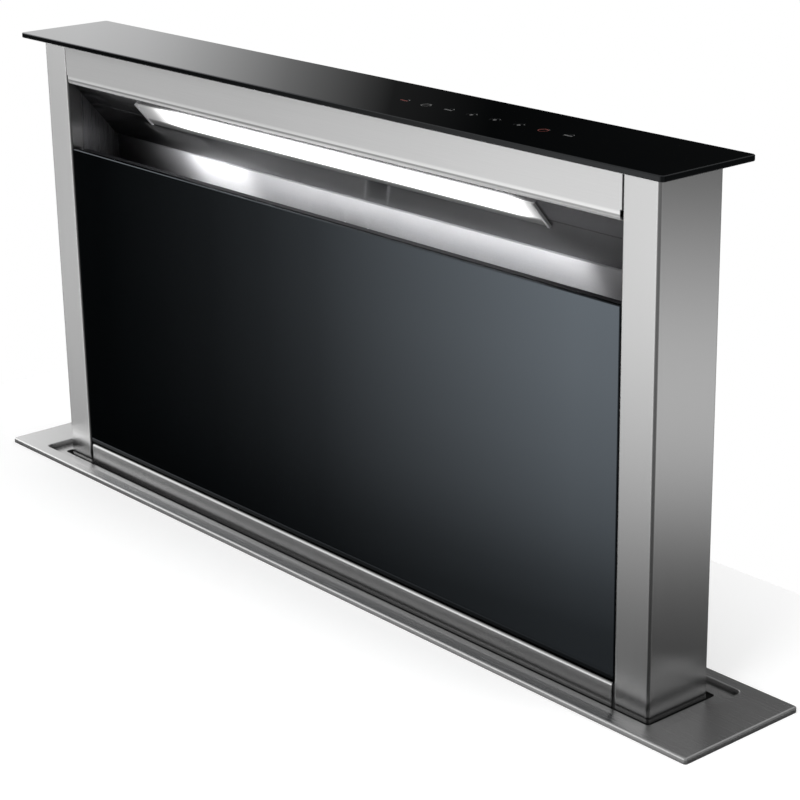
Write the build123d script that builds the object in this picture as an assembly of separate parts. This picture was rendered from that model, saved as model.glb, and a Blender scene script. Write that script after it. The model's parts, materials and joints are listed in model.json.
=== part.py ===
from build123d import *
import math
import os

# Pop-up downdraft vent for a worktop, drawn raised. Millimetres, +Z up.
# The origin is the centre of the trim flange on the worktop's surface (z = 0).
# The front, with the glass panel and the inlet slot, faces -Y.

# ---- driving dimensions: tower and cap ---------------------------------------------------------
tower_width = 757.0
tower_depth = 62.6
lift_travel = 398.0
tower_engagement = 118.0        # length of tower still in the chassis when raised
post_face_width = 34.2
post_return = 13.0              # fold that lines the end of the slot
post_sheet = 1.5
post_bend_radius = 2.6
panel_sheet = 1.2
cheek_sheet = 1.0
back_panel_end_gap = 6.0        # between the back panel and the posts' sides
flat_gap = 0.2                  # between flat pieces that only lie side by side

cap_overhang_ends = 15.5
cap_overhang_sides = 14.7
cap_thickness = 4.5
cap_corner_radius = 3.0
cap_chamfer = 0.5
bond_thickness = 1.0
tape_width = 14.0
tape_inset = 4.0
tape_gap = 0.5
cap_tape_width = 8.0
top_plate_thickness = 1.5
back_screw_rows = 5
back_screw_margin = 40.0        # end screws from the ends of the post
back_screw_inset = 12.0         # screw axis from the post's inner edge
back_screw_head_radius = 3.6
back_screw_radius = 1.9
back_screw_length = 7.0
back_screw_clearance = 0.15

# ---- driving dimensions: inlet -----------------------------------------------------------------
header_height = 35.1
header_lip_depth = 6.3
header_bend_radius = 3.6
header_top_fold = 14.0
header_top_radius = 2.0
header_notch_width = 1.6
header_notch_height = 8.0
hood_start_depth = 6.9          # depths are counted from the tower's front plane
hood_start_drop = 36.9          # below the top of the tower's sheet metal
hood_hem_height = 5.0
hood_bend_radius = 1.6
hood_seam_depth = 21.6
hood_seam_gap = 0.5
inlet_slope = 50.0              # degrees from level
duct_back_depth = 50.7
slot_height = 59.3

led_length = 500.0
led_width = 25.3
led_offset = 4.8                # down the slope from the hood's front edge
led_cover_thickness = 1.5
led_cover_radius = 0.6
led_cover_lip = 1.8             # how far the cover reaches past its cut-out
led_housing_depth = 9.0
led_housing_wall = 1.2
led_housing_gap = 0.3           # between the housing and the cut-out in the slope
led_board_gap = 0.5
led_board_width = 12.0
led_board_thickness = 1.4
led_chip_size = 3.2
led_chip_height = 0.8
led_chip_pitch = 16.0
led_cap_length = 2.4
led_cap_proud = 0.7
led_cap_margin = 0.6

# ---- driving dimensions: front panel, sill and filters -----------------------------------------
glass_thickness = 4.0
glass_recess = 0.8              # glass face behind the post faces
glass_side_gap = 1.2
glass_chamfer = 0.6
glass_bond_thickness = 1.2
carrier_sheet = 1.0
carrier_inset = 5.0
carrier_return = 6.0
sill_exposed = 17.5             # sill above the worktop when raised
sill_glass_gap = 1.8
sill_side_gap = 2.5
sill_setback = 0.5
sill_fold = 11.0
sill_bend_radius = 2.6
sill_tab_overlap = 4.0
sill_tab_sheet = 1.5
sill_tab_drop = 6.0             # top of the tabs below the wiper
clip_height = 22.0
clip_depth = 4.0
clip_fraction_low = 0.15        # clip heights along the glass carrier
clip_fraction_high = 0.85
filter_count = 2
filter_divider_width = 30.0
filter_divider_margin = 4.0     # past the filters at the top and bottom
filter_end_gap = 1.0
filter_thickness = 8.0
filter_height = 92.0
filter_rim = 7.0
filter_tilt = 14.0              # degrees from upright
filter_drop = 20.0              # filter centre line below the slot's lower edge
filter_slots_across = 18
filter_slots_down = 4
filter_bar = 4.0
filter_mesh_thickness = 3.0
ledge_size = 5.0
ledge_reach = 14.0
ledge_length = 40.0
ledge_inset = 60.0

# ---- driving dimensions: touch controls --------------------------------------------------------
icon_count = 8
icon_pitch = 25.2
icon_first = 87.2               # from the tower's middle
icon_back = -2.4                # from the cap's centre line, towards the front
icon_radius = 4.2
icon_line = 0.7
icon_thickness = 0.15
touch_margin = 14.0
touch_depth = 26.0
touch_height = 9.0
touch_clearance = 0.5
touch_ear = 4.0                 # ledge at each end, under the top plate
touch_ear_thickness = 1.5
icon_clearance = 0.02

# ---- driving dimensions: flange and chassis ----------------------------------------------------
flange_thickness = 4.7
flange_end_border = 42.0
flange_side_border = 11.5
flange_corner_radius = 2.0
flange_edge_radius = 1.5
recess_end_clearance = 4.0
recess_side_clearance = 1.5
recess_corner_radius = 5.0
recess_edge_radius = 0.6
recess_floor_thickness = 1.5
tower_slot_clearance = 4.5
wiper_thickness = 3.0
wiper_lip_gap = 0.6
wiper_margin = 4.0
chassis_bay_ends = 34.5         # between the tower and the chassis ends, outside
chassis_bay_sides = 17.7
chassis_sheet = 1.2
chassis_fold = 14.0
drive_bay = 84.0                # below the lowered tower
worktop_thickness = 40.0
rivet_radius = 2.0
rivet_head_radius = 3.6
rivet_head_height = 1.4
rivet_grip = 5.0                # shank length behind the head
rivet_clearance = 0.05
rivet_rows = 7
cover_rivet_rows = 4
lip_rivet_rows = 4
lip_rivet_rise = 25.0           # lowest above the blower's bottom
lip_rivet_drop = 10.0
bead_width = 26.0               # pressed stiffening beads in the front and back sheets
bead_depth = 2.0
bead_margin = 60.0
bead_places = (-300.0, -225.0, 225.0, 300.0)

# ---- driving dimensions: lift ------------------------------------------------------------------
carriage_thickness = 6.0
carriage_rim = 34.0
carriage_side_rim = 8.0
rod_radius = 6.0
rod_back = 24.0
rod_inset = 17.5                # rod axis from the chassis end's outside
bush_running_gap = 0.05
bush_end_gap = 0.5
bush_radius = 8.5
bush_flange_radius = 9.8
bush_flange_thickness = 1.5
boss_radius = 11.0
boss_height = 20.0
bracket_height = 92.0
bracket_sheet = 3.0
bracket_front = 13.0            # angle's edges from the rod's axis
bracket_rear = 7.0
arm_rear = 9.0
rod_holder_height = 10.0
rod_holder_margin = 5.5
rod_end_gap = 9.0
belt_centre = -10.0             # y of the pulley axes
belt_pitch_radius = 12.0
belt_thickness = 1.4
belt_width = 9.0
belt_gap = 0.1
belt_inset = 24.0               # belt middle from the chassis end's outside
pulley_flange = 2.0
pulley_flange_thickness = 1.2
pulley_side_gap = 0.4
idler_drop = 30.0
axle_radius = 3.0
running_gap = 0.05
axle_plate = 4.0
axle_plate_width = 28.0
axle_head_gap = 1.0             # between the pulley and the axle's head
axle_head_thickness = 1.2
axle_head_radius = 4.5
shaft_radius = 5.0
shaft_height = 28.0             # shaft axis above the chassis floor
shaft_overrun = 6.0
bearing_size = 26.0
bearing_length = 12.0
bearing_inset = 14.0
clamp_height = 20.0
clamp_drop = 62.0               # top of the belt clamp below the worktop
clamp_jaw = 4.0
clamp_gap = 0.3
clamp_overrun = 1.5
gearbox_length = 44.0
gearbox_wall = 12.0
gearbox_motor_margin = 2.0
gearbox_chamfer = 5.0
gearbox_hub_length = 5.0
gearbox_hub_wall = 6.0
motor_radius = 18.0
motor_length = 98.0
motor_back = 20.5
motor_drop = 2.0                # motor axis below the drive shaft's
motor_chamfer = 2.0
motor_boss_length = 6.0
motor_boss_radius = 7.0

# ---- driving dimensions: blower ----------------------------------------------------------------
blower_drop = 265.0
blower_side_gap = 12.5          # between the spiral and the case's side
blower_top_gap = 38.5           # above the spiral
blower_bottom_gap = 11.5
blower_cover_gap = 7.5          # between the fan's motor and the cover
blower_sheet = 1.2
blower_lip = 12.0
fan_radius = 95.0
fan_width = 84.0
fan_offset = -15.0
fan_blades = 36
fan_blade_depth = 16.0
fan_blade_thickness = 1.2
fan_blade_lean = 24.0
fan_blade_tip_gap = 0.8         # inside the discs' rims
fan_hub_length = 22.0
fan_ring_thickness = 2.0
fan_hub_radius = 14.0
fan_inlet_radius = 82.0
fan_back_gap = 17.0             # fan's open side from the scroll plate
scroll_gap = 9.0
scroll_sheet = 1.5
scroll_turn = 270.0             # degrees the spiral goes round
scroll_step = 30.0              # degrees between its points
scroll_front_gap = 13.0
fan_motor_radius = 42.0
fan_motor_length = 34.0
fan_motor_gap = 3.0
fan_motor_edge = 3.0
fan_motor_foot_radius = 34.0
fan_shaft_overrun = 4.0
dish_depth = 6.0
dish_margin = 14.0
fan_shaft_radius = 4.0
collar_radius = 75.0
collar_wall = 1.2
collar_length = 60.0
collar_margin = 2.5             # square plate past the collar
collar_side_gap = 1.0           # between the collar and the spiral's outlet
flap_axis_out = 12.0            # flap pin from the blower case
flap_thickness = 1.0
flap_rim_gap = 1.4
flap_stop_inner = 66.0          # stops reach in to this far from the pin
flap_stop_half = 6.0
flap_stop_depth = 5.0
flap_stop_gap = 1.2             # stops from the pin's axis, along the collar
flap_pin_radius = 2.0
flap_pin_end_gap = 0.2
flap_knuckle_radius = 3.4
flap_knuckle_length = 18.0
flap_knuckle_gap = 0.5
flap_web_gap = 4.6              # flap plate's edge from the pin axis
spring_wire = 0.8
spring_coil_radius = 3.2
spring_turns = 5
spring_pitch = 1.6
spring_end_gap = 1.5

# ---- driving dimensions: control box and fixings -----------------------------------------------
control_width = 180.0
control_height = 130.0
control_depth = 46.0
control_wall = 1.5
control_left = 395.0
control_drop = 200.0
control_lid = 1.5
control_lid_chamfer = 1.0
lid_screw_inset = 8.0
lid_screw_radius = 3.0
lid_screw_height = 1.5
gland_inset = 40.0
gland_radius = 10.0
gland_inner_length = 6.0
gland_nut_length = 4.5
gland_bore = 5.0
gland_length = 22.0
gland_collar = 14.0
gland_collar_length = 8.0
board_thickness = 1.6
board_margin = 8.0
standoff_height = 6.0
standoff_radius = 3.0
standoff_inset = 5.0
transformer_size = (44.0, 28.0, 40.0)
transformer_place = (18.0, 60.0)  # from the box's lower left corner
terminal_size = (12.0, 14.0, 14.0)
terminal_count = 5
terminal_pitch = 14.0
terminal_left = 84.0
terminal_low = 14.0
relay_size = (20.0, 16.0, 28.0)
relay_count = 3
relay_pitch = 24.0
relay_left = 80.0
relay_low = 84.0
capacitor_radius = 12.0
capacitor_height = 26.0
capacitor_place = (34.0, 34.0)
bracket_reach = 26.0
bracket_rise = 40.0
cabinet_hole_inset = 11.0
bracket_width = 50.0
bracket_plate = 3.0
cabinet_hole_radius = 2.75
cabinet_hole_spacing = 30.0
cabinet_bracket_rise = 80.0
jaw_width = 20.0
jaw_reach = 24.0
jaw_thickness = 3.0
jaw_leg = 40.0
jaw_drop = 22.0                 # jaw below the worktop's underside
jaw_screw_radius = 3.0
jaw_screw_inset = 8.0
jaw_screw_tail = 14.0
jaw_pad_radius = 7.0
jaw_pad_thickness = 3.0
jaw_nut = 5.5
jaw_screw_clearance = 0.2

# ---- worked out from them ----------------------------------------------------------------------
half_width = tower_width / 2
half_depth = tower_depth / 2
front = -half_depth
back = half_depth
cap_width = tower_width + 2 * cap_overhang_ends
cap_depth = tower_depth + 2 * cap_overhang_sides
recess_width = cap_width + 2 * recess_end_clearance
recess_depth = cap_depth + 2 * recess_side_clearance
flange_width = recess_width + 2 * flange_end_border
flange_depth = recess_depth + 2 * flange_side_border
slot_width = tower_width + 2 * tower_slot_clearance
slot_depth = tower_depth + 2 * tower_slot_clearance
chassis_half_width = half_width + chassis_bay_ends
chassis_half_depth = half_depth + chassis_bay_sides
chassis_inside = chassis_half_depth - chassis_sheet
deck = -recess_floor_thickness

cap_top = flange_thickness + lift_travel
cap_bottom = cap_top - cap_thickness
plate_top = cap_bottom - bond_thickness
tower_top = plate_top - top_plate_thickness
tower_bottom = -tower_engagement
carriage_top = tower_bottom + carriage_thickness
chassis_bottom = tower_bottom - lift_travel - drive_bay
floor_top = chassis_bottom + chassis_sheet

post_inner = half_width - post_face_width
lip_height = tower_top - header_height
slot_bottom = lip_height - slot_height
slope = math.radians(inlet_slope)
hood_start = (front + hood_start_depth, tower_top - hood_start_drop)
duct_back = front + duct_back_depth
bay = post_inner - flat_gap     # half the width between the posts' returns
back_panel = back - post_sheet
led_cut_length = led_length - 2 * led_cover_lip
led_cut_start = led_offset + led_cover_lip
led_cut_end = led_offset + led_width - led_cover_lip

glass_front = front + glass_recess
glass_back = glass_front + glass_thickness
carrier_front = glass_back + glass_bond_thickness
carrier_back = carrier_front + carrier_sheet
glass_half = post_inner - glass_side_gap
glass_bottom = sill_exposed + sill_glass_gap
carrier_half = glass_half - carrier_inset
sill_half = post_inner - sill_side_gap
sill_front = front + sill_setback

rod_x = chassis_half_width - rod_inset
belt_x = chassis_half_width - belt_inset
shaft_z = floor_top + shaft_height
idler_z = -idler_drop
pulley_radius = belt_pitch_radius - belt_thickness / 2 - belt_gap
belt_strand = belt_centre + belt_pitch_radius

scroll_start = fan_radius + scroll_gap
scroll_end = 2 * (collar_radius + collar_side_gap)
scroll_growth = scroll_end - scroll_start
scroll_top = scroll_start + scroll_growth * 90 / scroll_turn + scroll_sheet
scroll_side = scroll_start + scroll_growth * 180 / scroll_turn + scroll_sheet
blower_width = 2 * (scroll_side + blower_side_gap - fan_offset)
blower_back = -chassis_half_depth
blower_top = -blower_drop
fan_z = blower_top - blower_top_gap - scroll_top
blower_bottom = fan_z - scroll_end - scroll_sheet - blower_bottom_gap
scroll_back = blower_back - scroll_front_gap
fan_back = scroll_back - scroll_sheet - fan_back_gap
fan_front = fan_back - fan_width
blower_front = fan_front - fan_motor_gap - fan_motor_length - blower_cover_gap
outlet_x = blower_width / 2
outlet_y = (blower_back + blower_front) / 2
outlet_z = fan_z - scroll_end / 2
flap_x = outlet_x + flap_axis_out
collar_inside = collar_radius - collar_wall


# ---- helpers -----------------------------------------------------------------------------------
def block(x, y, z):
    """A box between the two values given for each axis."""
    sizes = [high - low for low, high in (x, y, z)]
    centre = [(low + high) / 2 for low, high in (x, y, z)]
    return Pos(*centre) * Box(*sizes)


def shrink(span, amount):
    """A span taken in by an amount at both ends."""
    return span[0] + amount, span[1] - amount


def round_x(x, y, z, radius):
    """A cylinder along X between the two values of x."""
    return Pos((x[0] + x[1]) / 2, y, z) * Rot(0, 90, 0) * Cylinder(radius, x[1] - x[0])


def round_y(x, y, z, radius):
    """A cylinder along Y between the two values of y."""
    return Pos(x, (y[0] + y[1]) / 2, z) * Rot(90, 0, 0) * Cylinder(radius, y[1] - y[0])


def round_z(x, y, z, radius):
    """A cylinder along Z between the two values of z."""
    return Pos(x, y, (z[0] + z[1]) / 2) * Cylinder(radius, z[1] - z[0])


def plate(width, depth, z, corner, y=0.0):
    """A flat plate with rounded corners between the two heights."""
    outline = Pos(0, y, z[0]) * RectangleRounded(width, depth, corner)
    return extrude(outline, z[1] - z[0])


def round_corner(face, corner, radius):
    """The face with the corner nearest to the given point rounded."""
    vertex = face.vertices().sort_by_distance((corner[0], corner[1], 0))[0]
    return fillet(vertex, radius)


def folded(points, thickness, bends=()):
    """Section of a sheet folded along points, the sheet on the left of the path.

    bends pairs the number of a point with the outside radius of its bend.
    """
    normals = []
    for (u0, v0), (u1, v1) in zip(points, points[1:]):
        length = math.hypot(u1 - u0, v1 - v0)
        normals.append((-(v1 - v0) / length, (u1 - u0) / length))
    before = [normals[0]] + normals
    after = normals + [normals[-1]]
    inner = []
    for (u, v), (au, av), (bu, bv) in zip(points, before, after):
        reach = thickness / (1 + au * bu + av * bv)
        inner.append((u + reach * (au + bu), v + reach * (av + bv)))
    face = make_face(Polyline(*points, *reversed(inner), close=True))
    for number, radius in bends:
        (au, av), (bu, bv) = before[number], after[number]
        turns_left = au * bv - av * bu > 0
        outside = points[number] if turns_left else inner[number]
        inside = inner[number] if turns_left else points[number]
        face = round_corner(face, outside, radius)
        if radius > thickness:
            face = round_corner(face, inside, radius - thickness)
    return face


def along_x(face, low, high):
    """A section drawn in (y, z), run along X between two values."""
    side = Plane(origin=(low, 0, 0), x_dir=(0, 1, 0), z_dir=(1, 0, 0))
    return extrude(side * face, high - low)


def along_z(face, low, high):
    """A section drawn in (x, y), run up between two heights."""
    return extrude(Pos(0, 0, low) * face, high - low)


def both_ends(piece):
    """The piece and its mirror image at the other end."""
    return [piece, mirror(piece, Plane.YZ)]


def slope_z(depth):
    """Height of the inlet slope's visible face at a depth behind the tower's front."""
    return hood_start[1] - (depth - hood_start_depth) * math.tan(slope)


slope_frame = Plane(
    origin=(0, hood_start[0], hood_start[1]),
    x_dir=(1, 0, 0),
    z_dir=(0, -math.sin(slope), -math.cos(slope)),
)


def on_slope(x, down, proud):
    """A box on the inlet slope: down it from the hood's edge, and proud of its face."""
    return slope_frame * block(x, (-down[1], -down[0]), proud)


# ---- tower: sheet metal ------------------------------------------------------------------------
def tower_screw_places():
    low, high = shrink((carriage_top, tower_top), back_screw_margin)
    step = (high - low) / (back_screw_rows - 1)
    x = post_inner + back_screw_inset
    heights = [low + row * step for row in range(back_screw_rows)]
    return [(side * x, z) for side in (-1, 1) for z in heights]


def back_screw(x, z, clearance=0.0):
    """Countersunk screw through the post's rear flange into the back panel."""
    head_radius = back_screw_head_radius + clearance
    shank_radius = back_screw_radius + clearance
    depth = head_radius - shank_radius
    head = Pos(x, back - depth / 2, z) * Rot(-90, 0, 0) * Cone(shank_radius, head_radius, depth)
    return head + round_y(x, (back - back_screw_length, back - depth / 2), z, shank_radius)


def post(side):
    points = [
        (post_inner, front + post_return),
        (post_inner, front),
        (half_width, front),
        (half_width, back),
        (post_inner, back),
    ]
    bends = [(1, post_sheet + 0.4), (2, post_bend_radius), (3, post_bend_radius)]
    solid = along_z(folded(points, post_sheet, bends), carriage_top, tower_top)
    for x, z in tower_screw_places():
        if x > 0:
            solid -= back_screw(x, z, back_screw_clearance)
    return solid if side > 0 else mirror(solid, Plane.YZ)


def header():
    points = [
        (front + header_top_fold, tower_top),
        (front, tower_top),
        (front, lip_height),
        (front + header_lip_depth, lip_height),
    ]
    section = folded(points, panel_sheet, [(1, header_top_radius), (2, header_bend_radius)])
    solid = along_x(section, -bay, bay)
    notch = block(
        (bay - header_notch_width, bay + 1),
        (front - 1, front + header_lip_depth + 1),
        (lip_height - 1, lip_height + header_notch_height),
    )
    for cut in both_ends(notch):
        solid -= cut
    return solid


def led_cut():
    return on_slope(
        (-led_cut_length / 2, led_cut_length / 2),
        (led_cut_start, led_cut_end),
        (-panel_sheet * 3, panel_sheet * 3),
    )


def inlet_hood():
    seam_depth = hood_seam_depth - hood_seam_gap / 2
    points = [
        (hood_start[0], hood_start[1] + hood_hem_height),
        hood_start,
        (front + seam_depth, slope_z(seam_depth)),
    ]
    section = folded(points, panel_sheet, [(1, hood_bend_radius)])
    return along_x(section, -bay, bay) - led_cut()


def duct_back_sheet():
    seam_depth = hood_seam_depth + hood_seam_gap / 2
    points = [
        (front + seam_depth, slope_z(seam_depth)),
        (duct_back, slope_z(duct_back_depth)),
        (duct_back, carriage_top),
    ]
    section = folded(points, panel_sheet)
    return along_x(section, -bay, bay) - led_cut()


def duct_cheeks():
    cheek = block(
        (post_inner, post_inner + cheek_sheet),
        (front + post_return + 2 * flat_gap, back_panel - panel_sheet - flat_gap),
        (carriage_top, tower_top),
    )
    return both_ends(cheek)


def tower_back():
    half = half_width - post_sheet - back_panel_end_gap
    solid = block((-half, half), (back_panel - panel_sheet, back_panel), (carriage_top, tower_top))
    for x, z in tower_screw_places():
        solid -= back_screw(x, z, back_screw_clearance)
    return solid


def top_plate():
    solid = plate(
        tower_width - 2 * flat_gap,
        tower_depth - 2 * flat_gap,
        (tower_top, plate_top),
        post_bend_radius,
    )
    return solid - touch_body(touch_clearance)


# ---- tower: glass, bonding and controls --------------------------------------------------------
def cap_glass():
    solid = plate(cap_width, cap_depth, (cap_bottom, cap_top), cap_corner_radius)
    rims = solid.edges().filter_by(Plane.XY)
    solid = chamfer(rims, cap_chamfer)
    for number in range(icon_count):
        solid -= icon_disc(number, icon_radius + icon_clearance, icon_thickness)
    return solid


def icon_place(number):
    return icon_first + number * icon_pitch, icon_back


def icon_disc(number, radius, depth):
    x, y = icon_place(number)
    return round_z(x, y, (cap_top - depth, cap_top), radius)


def touch_icons():
    """Generic marks: a ring, a bar or a dot for each touch field."""
    marks = []
    for number in range(icon_count):
        x, y = icon_place(number)
        disc = icon_disc(number, icon_radius, icon_thickness)
        if number in (0, 2, 7):
            keep = block(
                (x - icon_radius, x + icon_radius),
                (y - icon_line, y + icon_line),
                (cap_top - icon_thickness, cap_top),
            )
            marks.append(disc & keep)
        elif number in (1, 6):
            marks.append(disc - icon_disc(number, icon_radius - icon_line, icon_thickness))
        else:
            marks.append(icon_disc(number, icon_line * 2, icon_thickness))
    return marks


def touch_body(clearance=0.0):
    span = (icon_count - 1) * icon_pitch
    return block(
        (icon_first - touch_margin - clearance, icon_first + span + touch_margin + clearance),
        (icon_back - touch_depth / 2 - clearance, icon_back + touch_depth / 2 + clearance),
        (cap_bottom - flat_gap - touch_height - clearance, cap_bottom - flat_gap),
    )


def touch_module():
    """Slim housing with a ledge at each end that hooks under the top plate."""
    span = (icon_count - 1) * icon_pitch
    ears = block(
        (icon_first - touch_margin - touch_ear, icon_first + span + touch_margin + touch_ear),
        shrink((icon_back - touch_depth / 2, icon_back + touch_depth / 2), touch_ear),
        (tower_top - touch_ear_thickness, tower_top),
    )
    return touch_body() + ears


def bonding_tapes():
    """Double-sided tape under the cap and behind the front glass."""
    wide, deep = tower_width - 2 * tape_inset, tower_depth - 2 * tape_inset
    cap_tape = plate(wide, deep, (plate_top, cap_bottom), 2.0)
    inner_z = (plate_top - 1, cap_bottom + 1)
    cap_tape -= plate(wide - 2 * cap_tape_width, deep - 2 * cap_tape_width, inner_z, 1.0)
    half = carrier_half - tape_inset
    low = glass_bottom + carrier_inset + tape_inset
    high = slot_bottom - carrier_inset
    deep = (glass_back, carrier_front)
    strips = [block((-half, half), deep, (z, z + tape_width)) for z in (low, high - tape_width)]
    upright = block((half - tape_width, half), deep, shrink((low, high), tape_width + tape_gap))
    return [cap_tape] + strips + both_ends(upright)


def front_glass():
    solid = block((-glass_half, glass_half), (glass_front, glass_back), (glass_bottom, slot_bottom))
    rim = solid.faces().sort_by(Axis.Y)[0].edges()
    return chamfer(rim, glass_chamfer)


def glass_carrier():
    """Shallow steel pan bonded to the glass, with its edges turned back."""
    half = carrier_half
    low = glass_bottom + carrier_inset
    deep = (carrier_front, carrier_back + carrier_return)
    outer = block((-half, half), deep, (low, slot_bottom - 1))
    inner = block(
        (-half + carrier_sheet, half - carrier_sheet),
        (carrier_back, deep[1] + 1),
        (low + carrier_sheet, slot_bottom - 1 - carrier_sheet),
    )
    return outer - inner


def carrier_clips():
    """Spring clips between the carrier's sides and the post returns."""
    clips = []
    for fraction in (clip_fraction_low, clip_fraction_high):
        z = glass_bottom + fraction * (slot_bottom - glass_bottom)
        clip = block(
            (carrier_half, post_inner),
            (carrier_back, carrier_back + clip_depth),
            (z - clip_height / 2, z + clip_height / 2),
        )
        clips += both_ends(clip)
    return clips


def sill():
    """Rounded sheet under the glass, with a tab at each end out to the post's return."""
    points = [
        (sill_front + sill_fold, sill_exposed),
        (sill_front, sill_exposed),
        (sill_front, carriage_top),
    ]
    solid = along_x(folded(points, panel_sheet, [(1, sill_bend_radius)]), -sill_half, sill_half)
    tab = block(
        (sill_half - sill_tab_overlap, post_inner),
        (sill_front + panel_sheet, sill_front + panel_sheet + sill_tab_sheet),
        (carriage_top, deck - wiper_thickness - sill_tab_drop),
    )
    for piece in both_ends(tab):
        solid += piece
    return solid


# ---- tower: lights and filters -----------------------------------------------------------------
def led_housing():
    """Channel behind the slope, open towards the slot."""
    half = led_cut_length / 2 - led_housing_gap
    down = shrink((led_cut_start, led_cut_end), led_housing_gap)
    outer = on_slope((-half, half), down, (-led_housing_depth, 0))
    inner = on_slope(
        shrink((-half, half), led_housing_wall),
        shrink(down, led_housing_wall),
        (-led_housing_depth + led_housing_wall, 1),
    )
    return outer - inner


def led_board():
    """Board on the channel's floor with its row of lamps."""
    half = led_cut_length / 2 - led_housing_gap - led_housing_wall - led_board_gap
    floor = -led_housing_depth + led_housing_wall
    middle = led_offset + led_width / 2
    top = floor + led_board_thickness
    wide = (middle - led_board_width / 2, middle + led_board_width / 2)
    board = on_slope((-half, half), wide, (floor, top))
    count = int((2 * half - led_board_width) // led_chip_pitch) + 1
    start = -(count - 1) * led_chip_pitch / 2
    half_chip = led_chip_size / 2
    down = (middle - half_chip, middle + half_chip)
    chips = []
    for number in range(count):
        x = start + number * led_chip_pitch
        chips.append(on_slope((x - half_chip, x + half_chip), down, (top, top + led_chip_height)))
    return [board] + chips


def led_cover():
    half = led_length / 2 - led_cap_length
    cover = on_slope((-half, half), (led_offset, led_offset + led_width), (0, led_cover_thickness))
    long_edges = cover.edges().filter_by(Axis.X)
    visible = [edge for edge in long_edges if slope_frame.to_local_coords(edge.center()).Z > 0.1]
    return fillet(visible, led_cover_radius)


def led_end_caps():
    """Caps on the slope that close the cover's two ends."""
    cap = on_slope(
        (led_length / 2 - led_cap_length, led_length / 2),
        (led_offset - led_cap_margin, led_offset + led_width + led_cap_margin),
        (0, led_cover_thickness + led_cap_proud),
    )
    return both_ends(cap)


filter_middle = (carrier_back + carrier_return + duct_back) / 2
tilt = math.radians(filter_tilt)
filter_plane = Plane(
    origin=(0, filter_middle, slot_bottom - filter_drop - filter_height / 2),
    x_dir=(1, 0, 0),
    z_dir=(0, -math.cos(tilt), -math.sin(tilt)),
)


def filter_span(number):
    width = (2 * bay - (filter_count - 1) * filter_divider_width) / filter_count
    low = -bay + number * (width + filter_divider_width)
    return low + filter_end_gap, low + width - filter_end_gap


def filter_dividers():
    """Channels between the filters, their sides against the duct's back wall."""
    top = slot_bottom - filter_drop + filter_divider_margin
    bottom = top - filter_height - 2 * filter_divider_margin
    deep = (carrier_back + carrier_return + filter_end_gap, duct_back)
    dividers = []
    for number in range(filter_count - 1):
        low = filter_span(number)[1] + filter_end_gap
        span = (low, low + filter_divider_width)
        inner_deep = (deep[0] + panel_sheet, deep[1] + 1)
        inner = block(shrink(span, panel_sheet), inner_deep, (bottom - 1, top + 1))
        dividers.append(block(span, deep, (bottom, top)) - inner)
    return dividers


def filter_frames():
    frames = []
    for number in range(filter_count):
        low, high = filter_span(number)
        tall = (-filter_height / 2, filter_height / 2)
        outer = block((low, high), tall, (-filter_thickness / 2, filter_thickness / 2))
        inner = block(
            shrink((low, high), filter_rim),
            shrink(tall, filter_rim),
            (-filter_thickness, filter_thickness),
        )
        frames.append(filter_plane * (outer - inner))
    return frames


def filter_meshes():
    meshes = []
    for number in range(filter_count):
        low, high = filter_span(number)
        left, right = shrink((low, high), filter_rim)
        bottom, top = shrink((-filter_height / 2, filter_height / 2), filter_rim)
        thick = (-filter_mesh_thickness / 2, filter_mesh_thickness / 2)
        solid = block((left, right), (bottom, top), thick)
        step_x = (right - left - filter_bar) / filter_slots_across
        step_y = (top - bottom - filter_bar) / filter_slots_down
        for column in range(filter_slots_across):
            for row in range(filter_slots_down):
                x = left + filter_bar + column * step_x
                y = bottom + filter_bar + row * step_y
                hole = block(
                    (x, x + step_x - filter_bar),
                    (y, y + step_y - filter_bar),
                    (-filter_mesh_thickness, filter_mesh_thickness),
                )
                solid -= hole
        meshes.append(filter_plane * solid)
    return meshes


def filter_ledges():
    """Angles on the duct's back wall that the filters' lower edges stand on."""
    lowest = filter_plane.from_local_coords(Vector(0, -filter_height / 2, filter_thickness / 2))
    z = lowest.Z
    points = [(duct_back, z - ledge_size), (duct_back, z), (duct_back - ledge_reach, z)]
    section = folded(points, panel_sheet)
    ledges = []
    for number in range(filter_count):
        low, high = filter_span(number)
        for x in (low + ledge_inset, high - ledge_inset):
            ledges.append(along_x(section, x - ledge_length / 2, x + ledge_length / 2))
    return ledges


# ---- tower: carriage ---------------------------------------------------------------------------
def carriage_frame():
    solid = plate(
        tower_width - 2 * flat_gap,
        tower_depth - 2 * flat_gap,
        (tower_bottom, carriage_top),
        post_bend_radius,
    )
    hole = block(
        (-half_width + carriage_rim, half_width - carriage_rim),
        (front + carriage_side_rim, duct_back - 1),
        (tower_bottom - 1, carriage_top + 1),
    )
    return solid - hole


def slider_heights():
    return [tower_bottom + boss_height / 2, tower_bottom + bracket_height - boss_height / 2]


def slider_brackets():
    """Angle on each post with two bosses that carry the guide bushes."""
    wall = block(
        (half_width, half_width + bracket_sheet),
        (rod_back - bracket_front, rod_back + bracket_rear),
        (tower_bottom, tower_bottom + bracket_height),
    )
    solid = wall
    for z in slider_heights():
        span = (z - boss_height / 2, z + boss_height / 2)
        arm = block((half_width, rod_x), (rod_back - boss_radius, rod_back + arm_rear), span)
        solid += arm + round_z(rod_x, rod_back, span, boss_radius)
        solid -= round_z(rod_x, rod_back, (span[0] - 1, span[1] + 1), bush_radius)
    return both_ends(solid)


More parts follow.
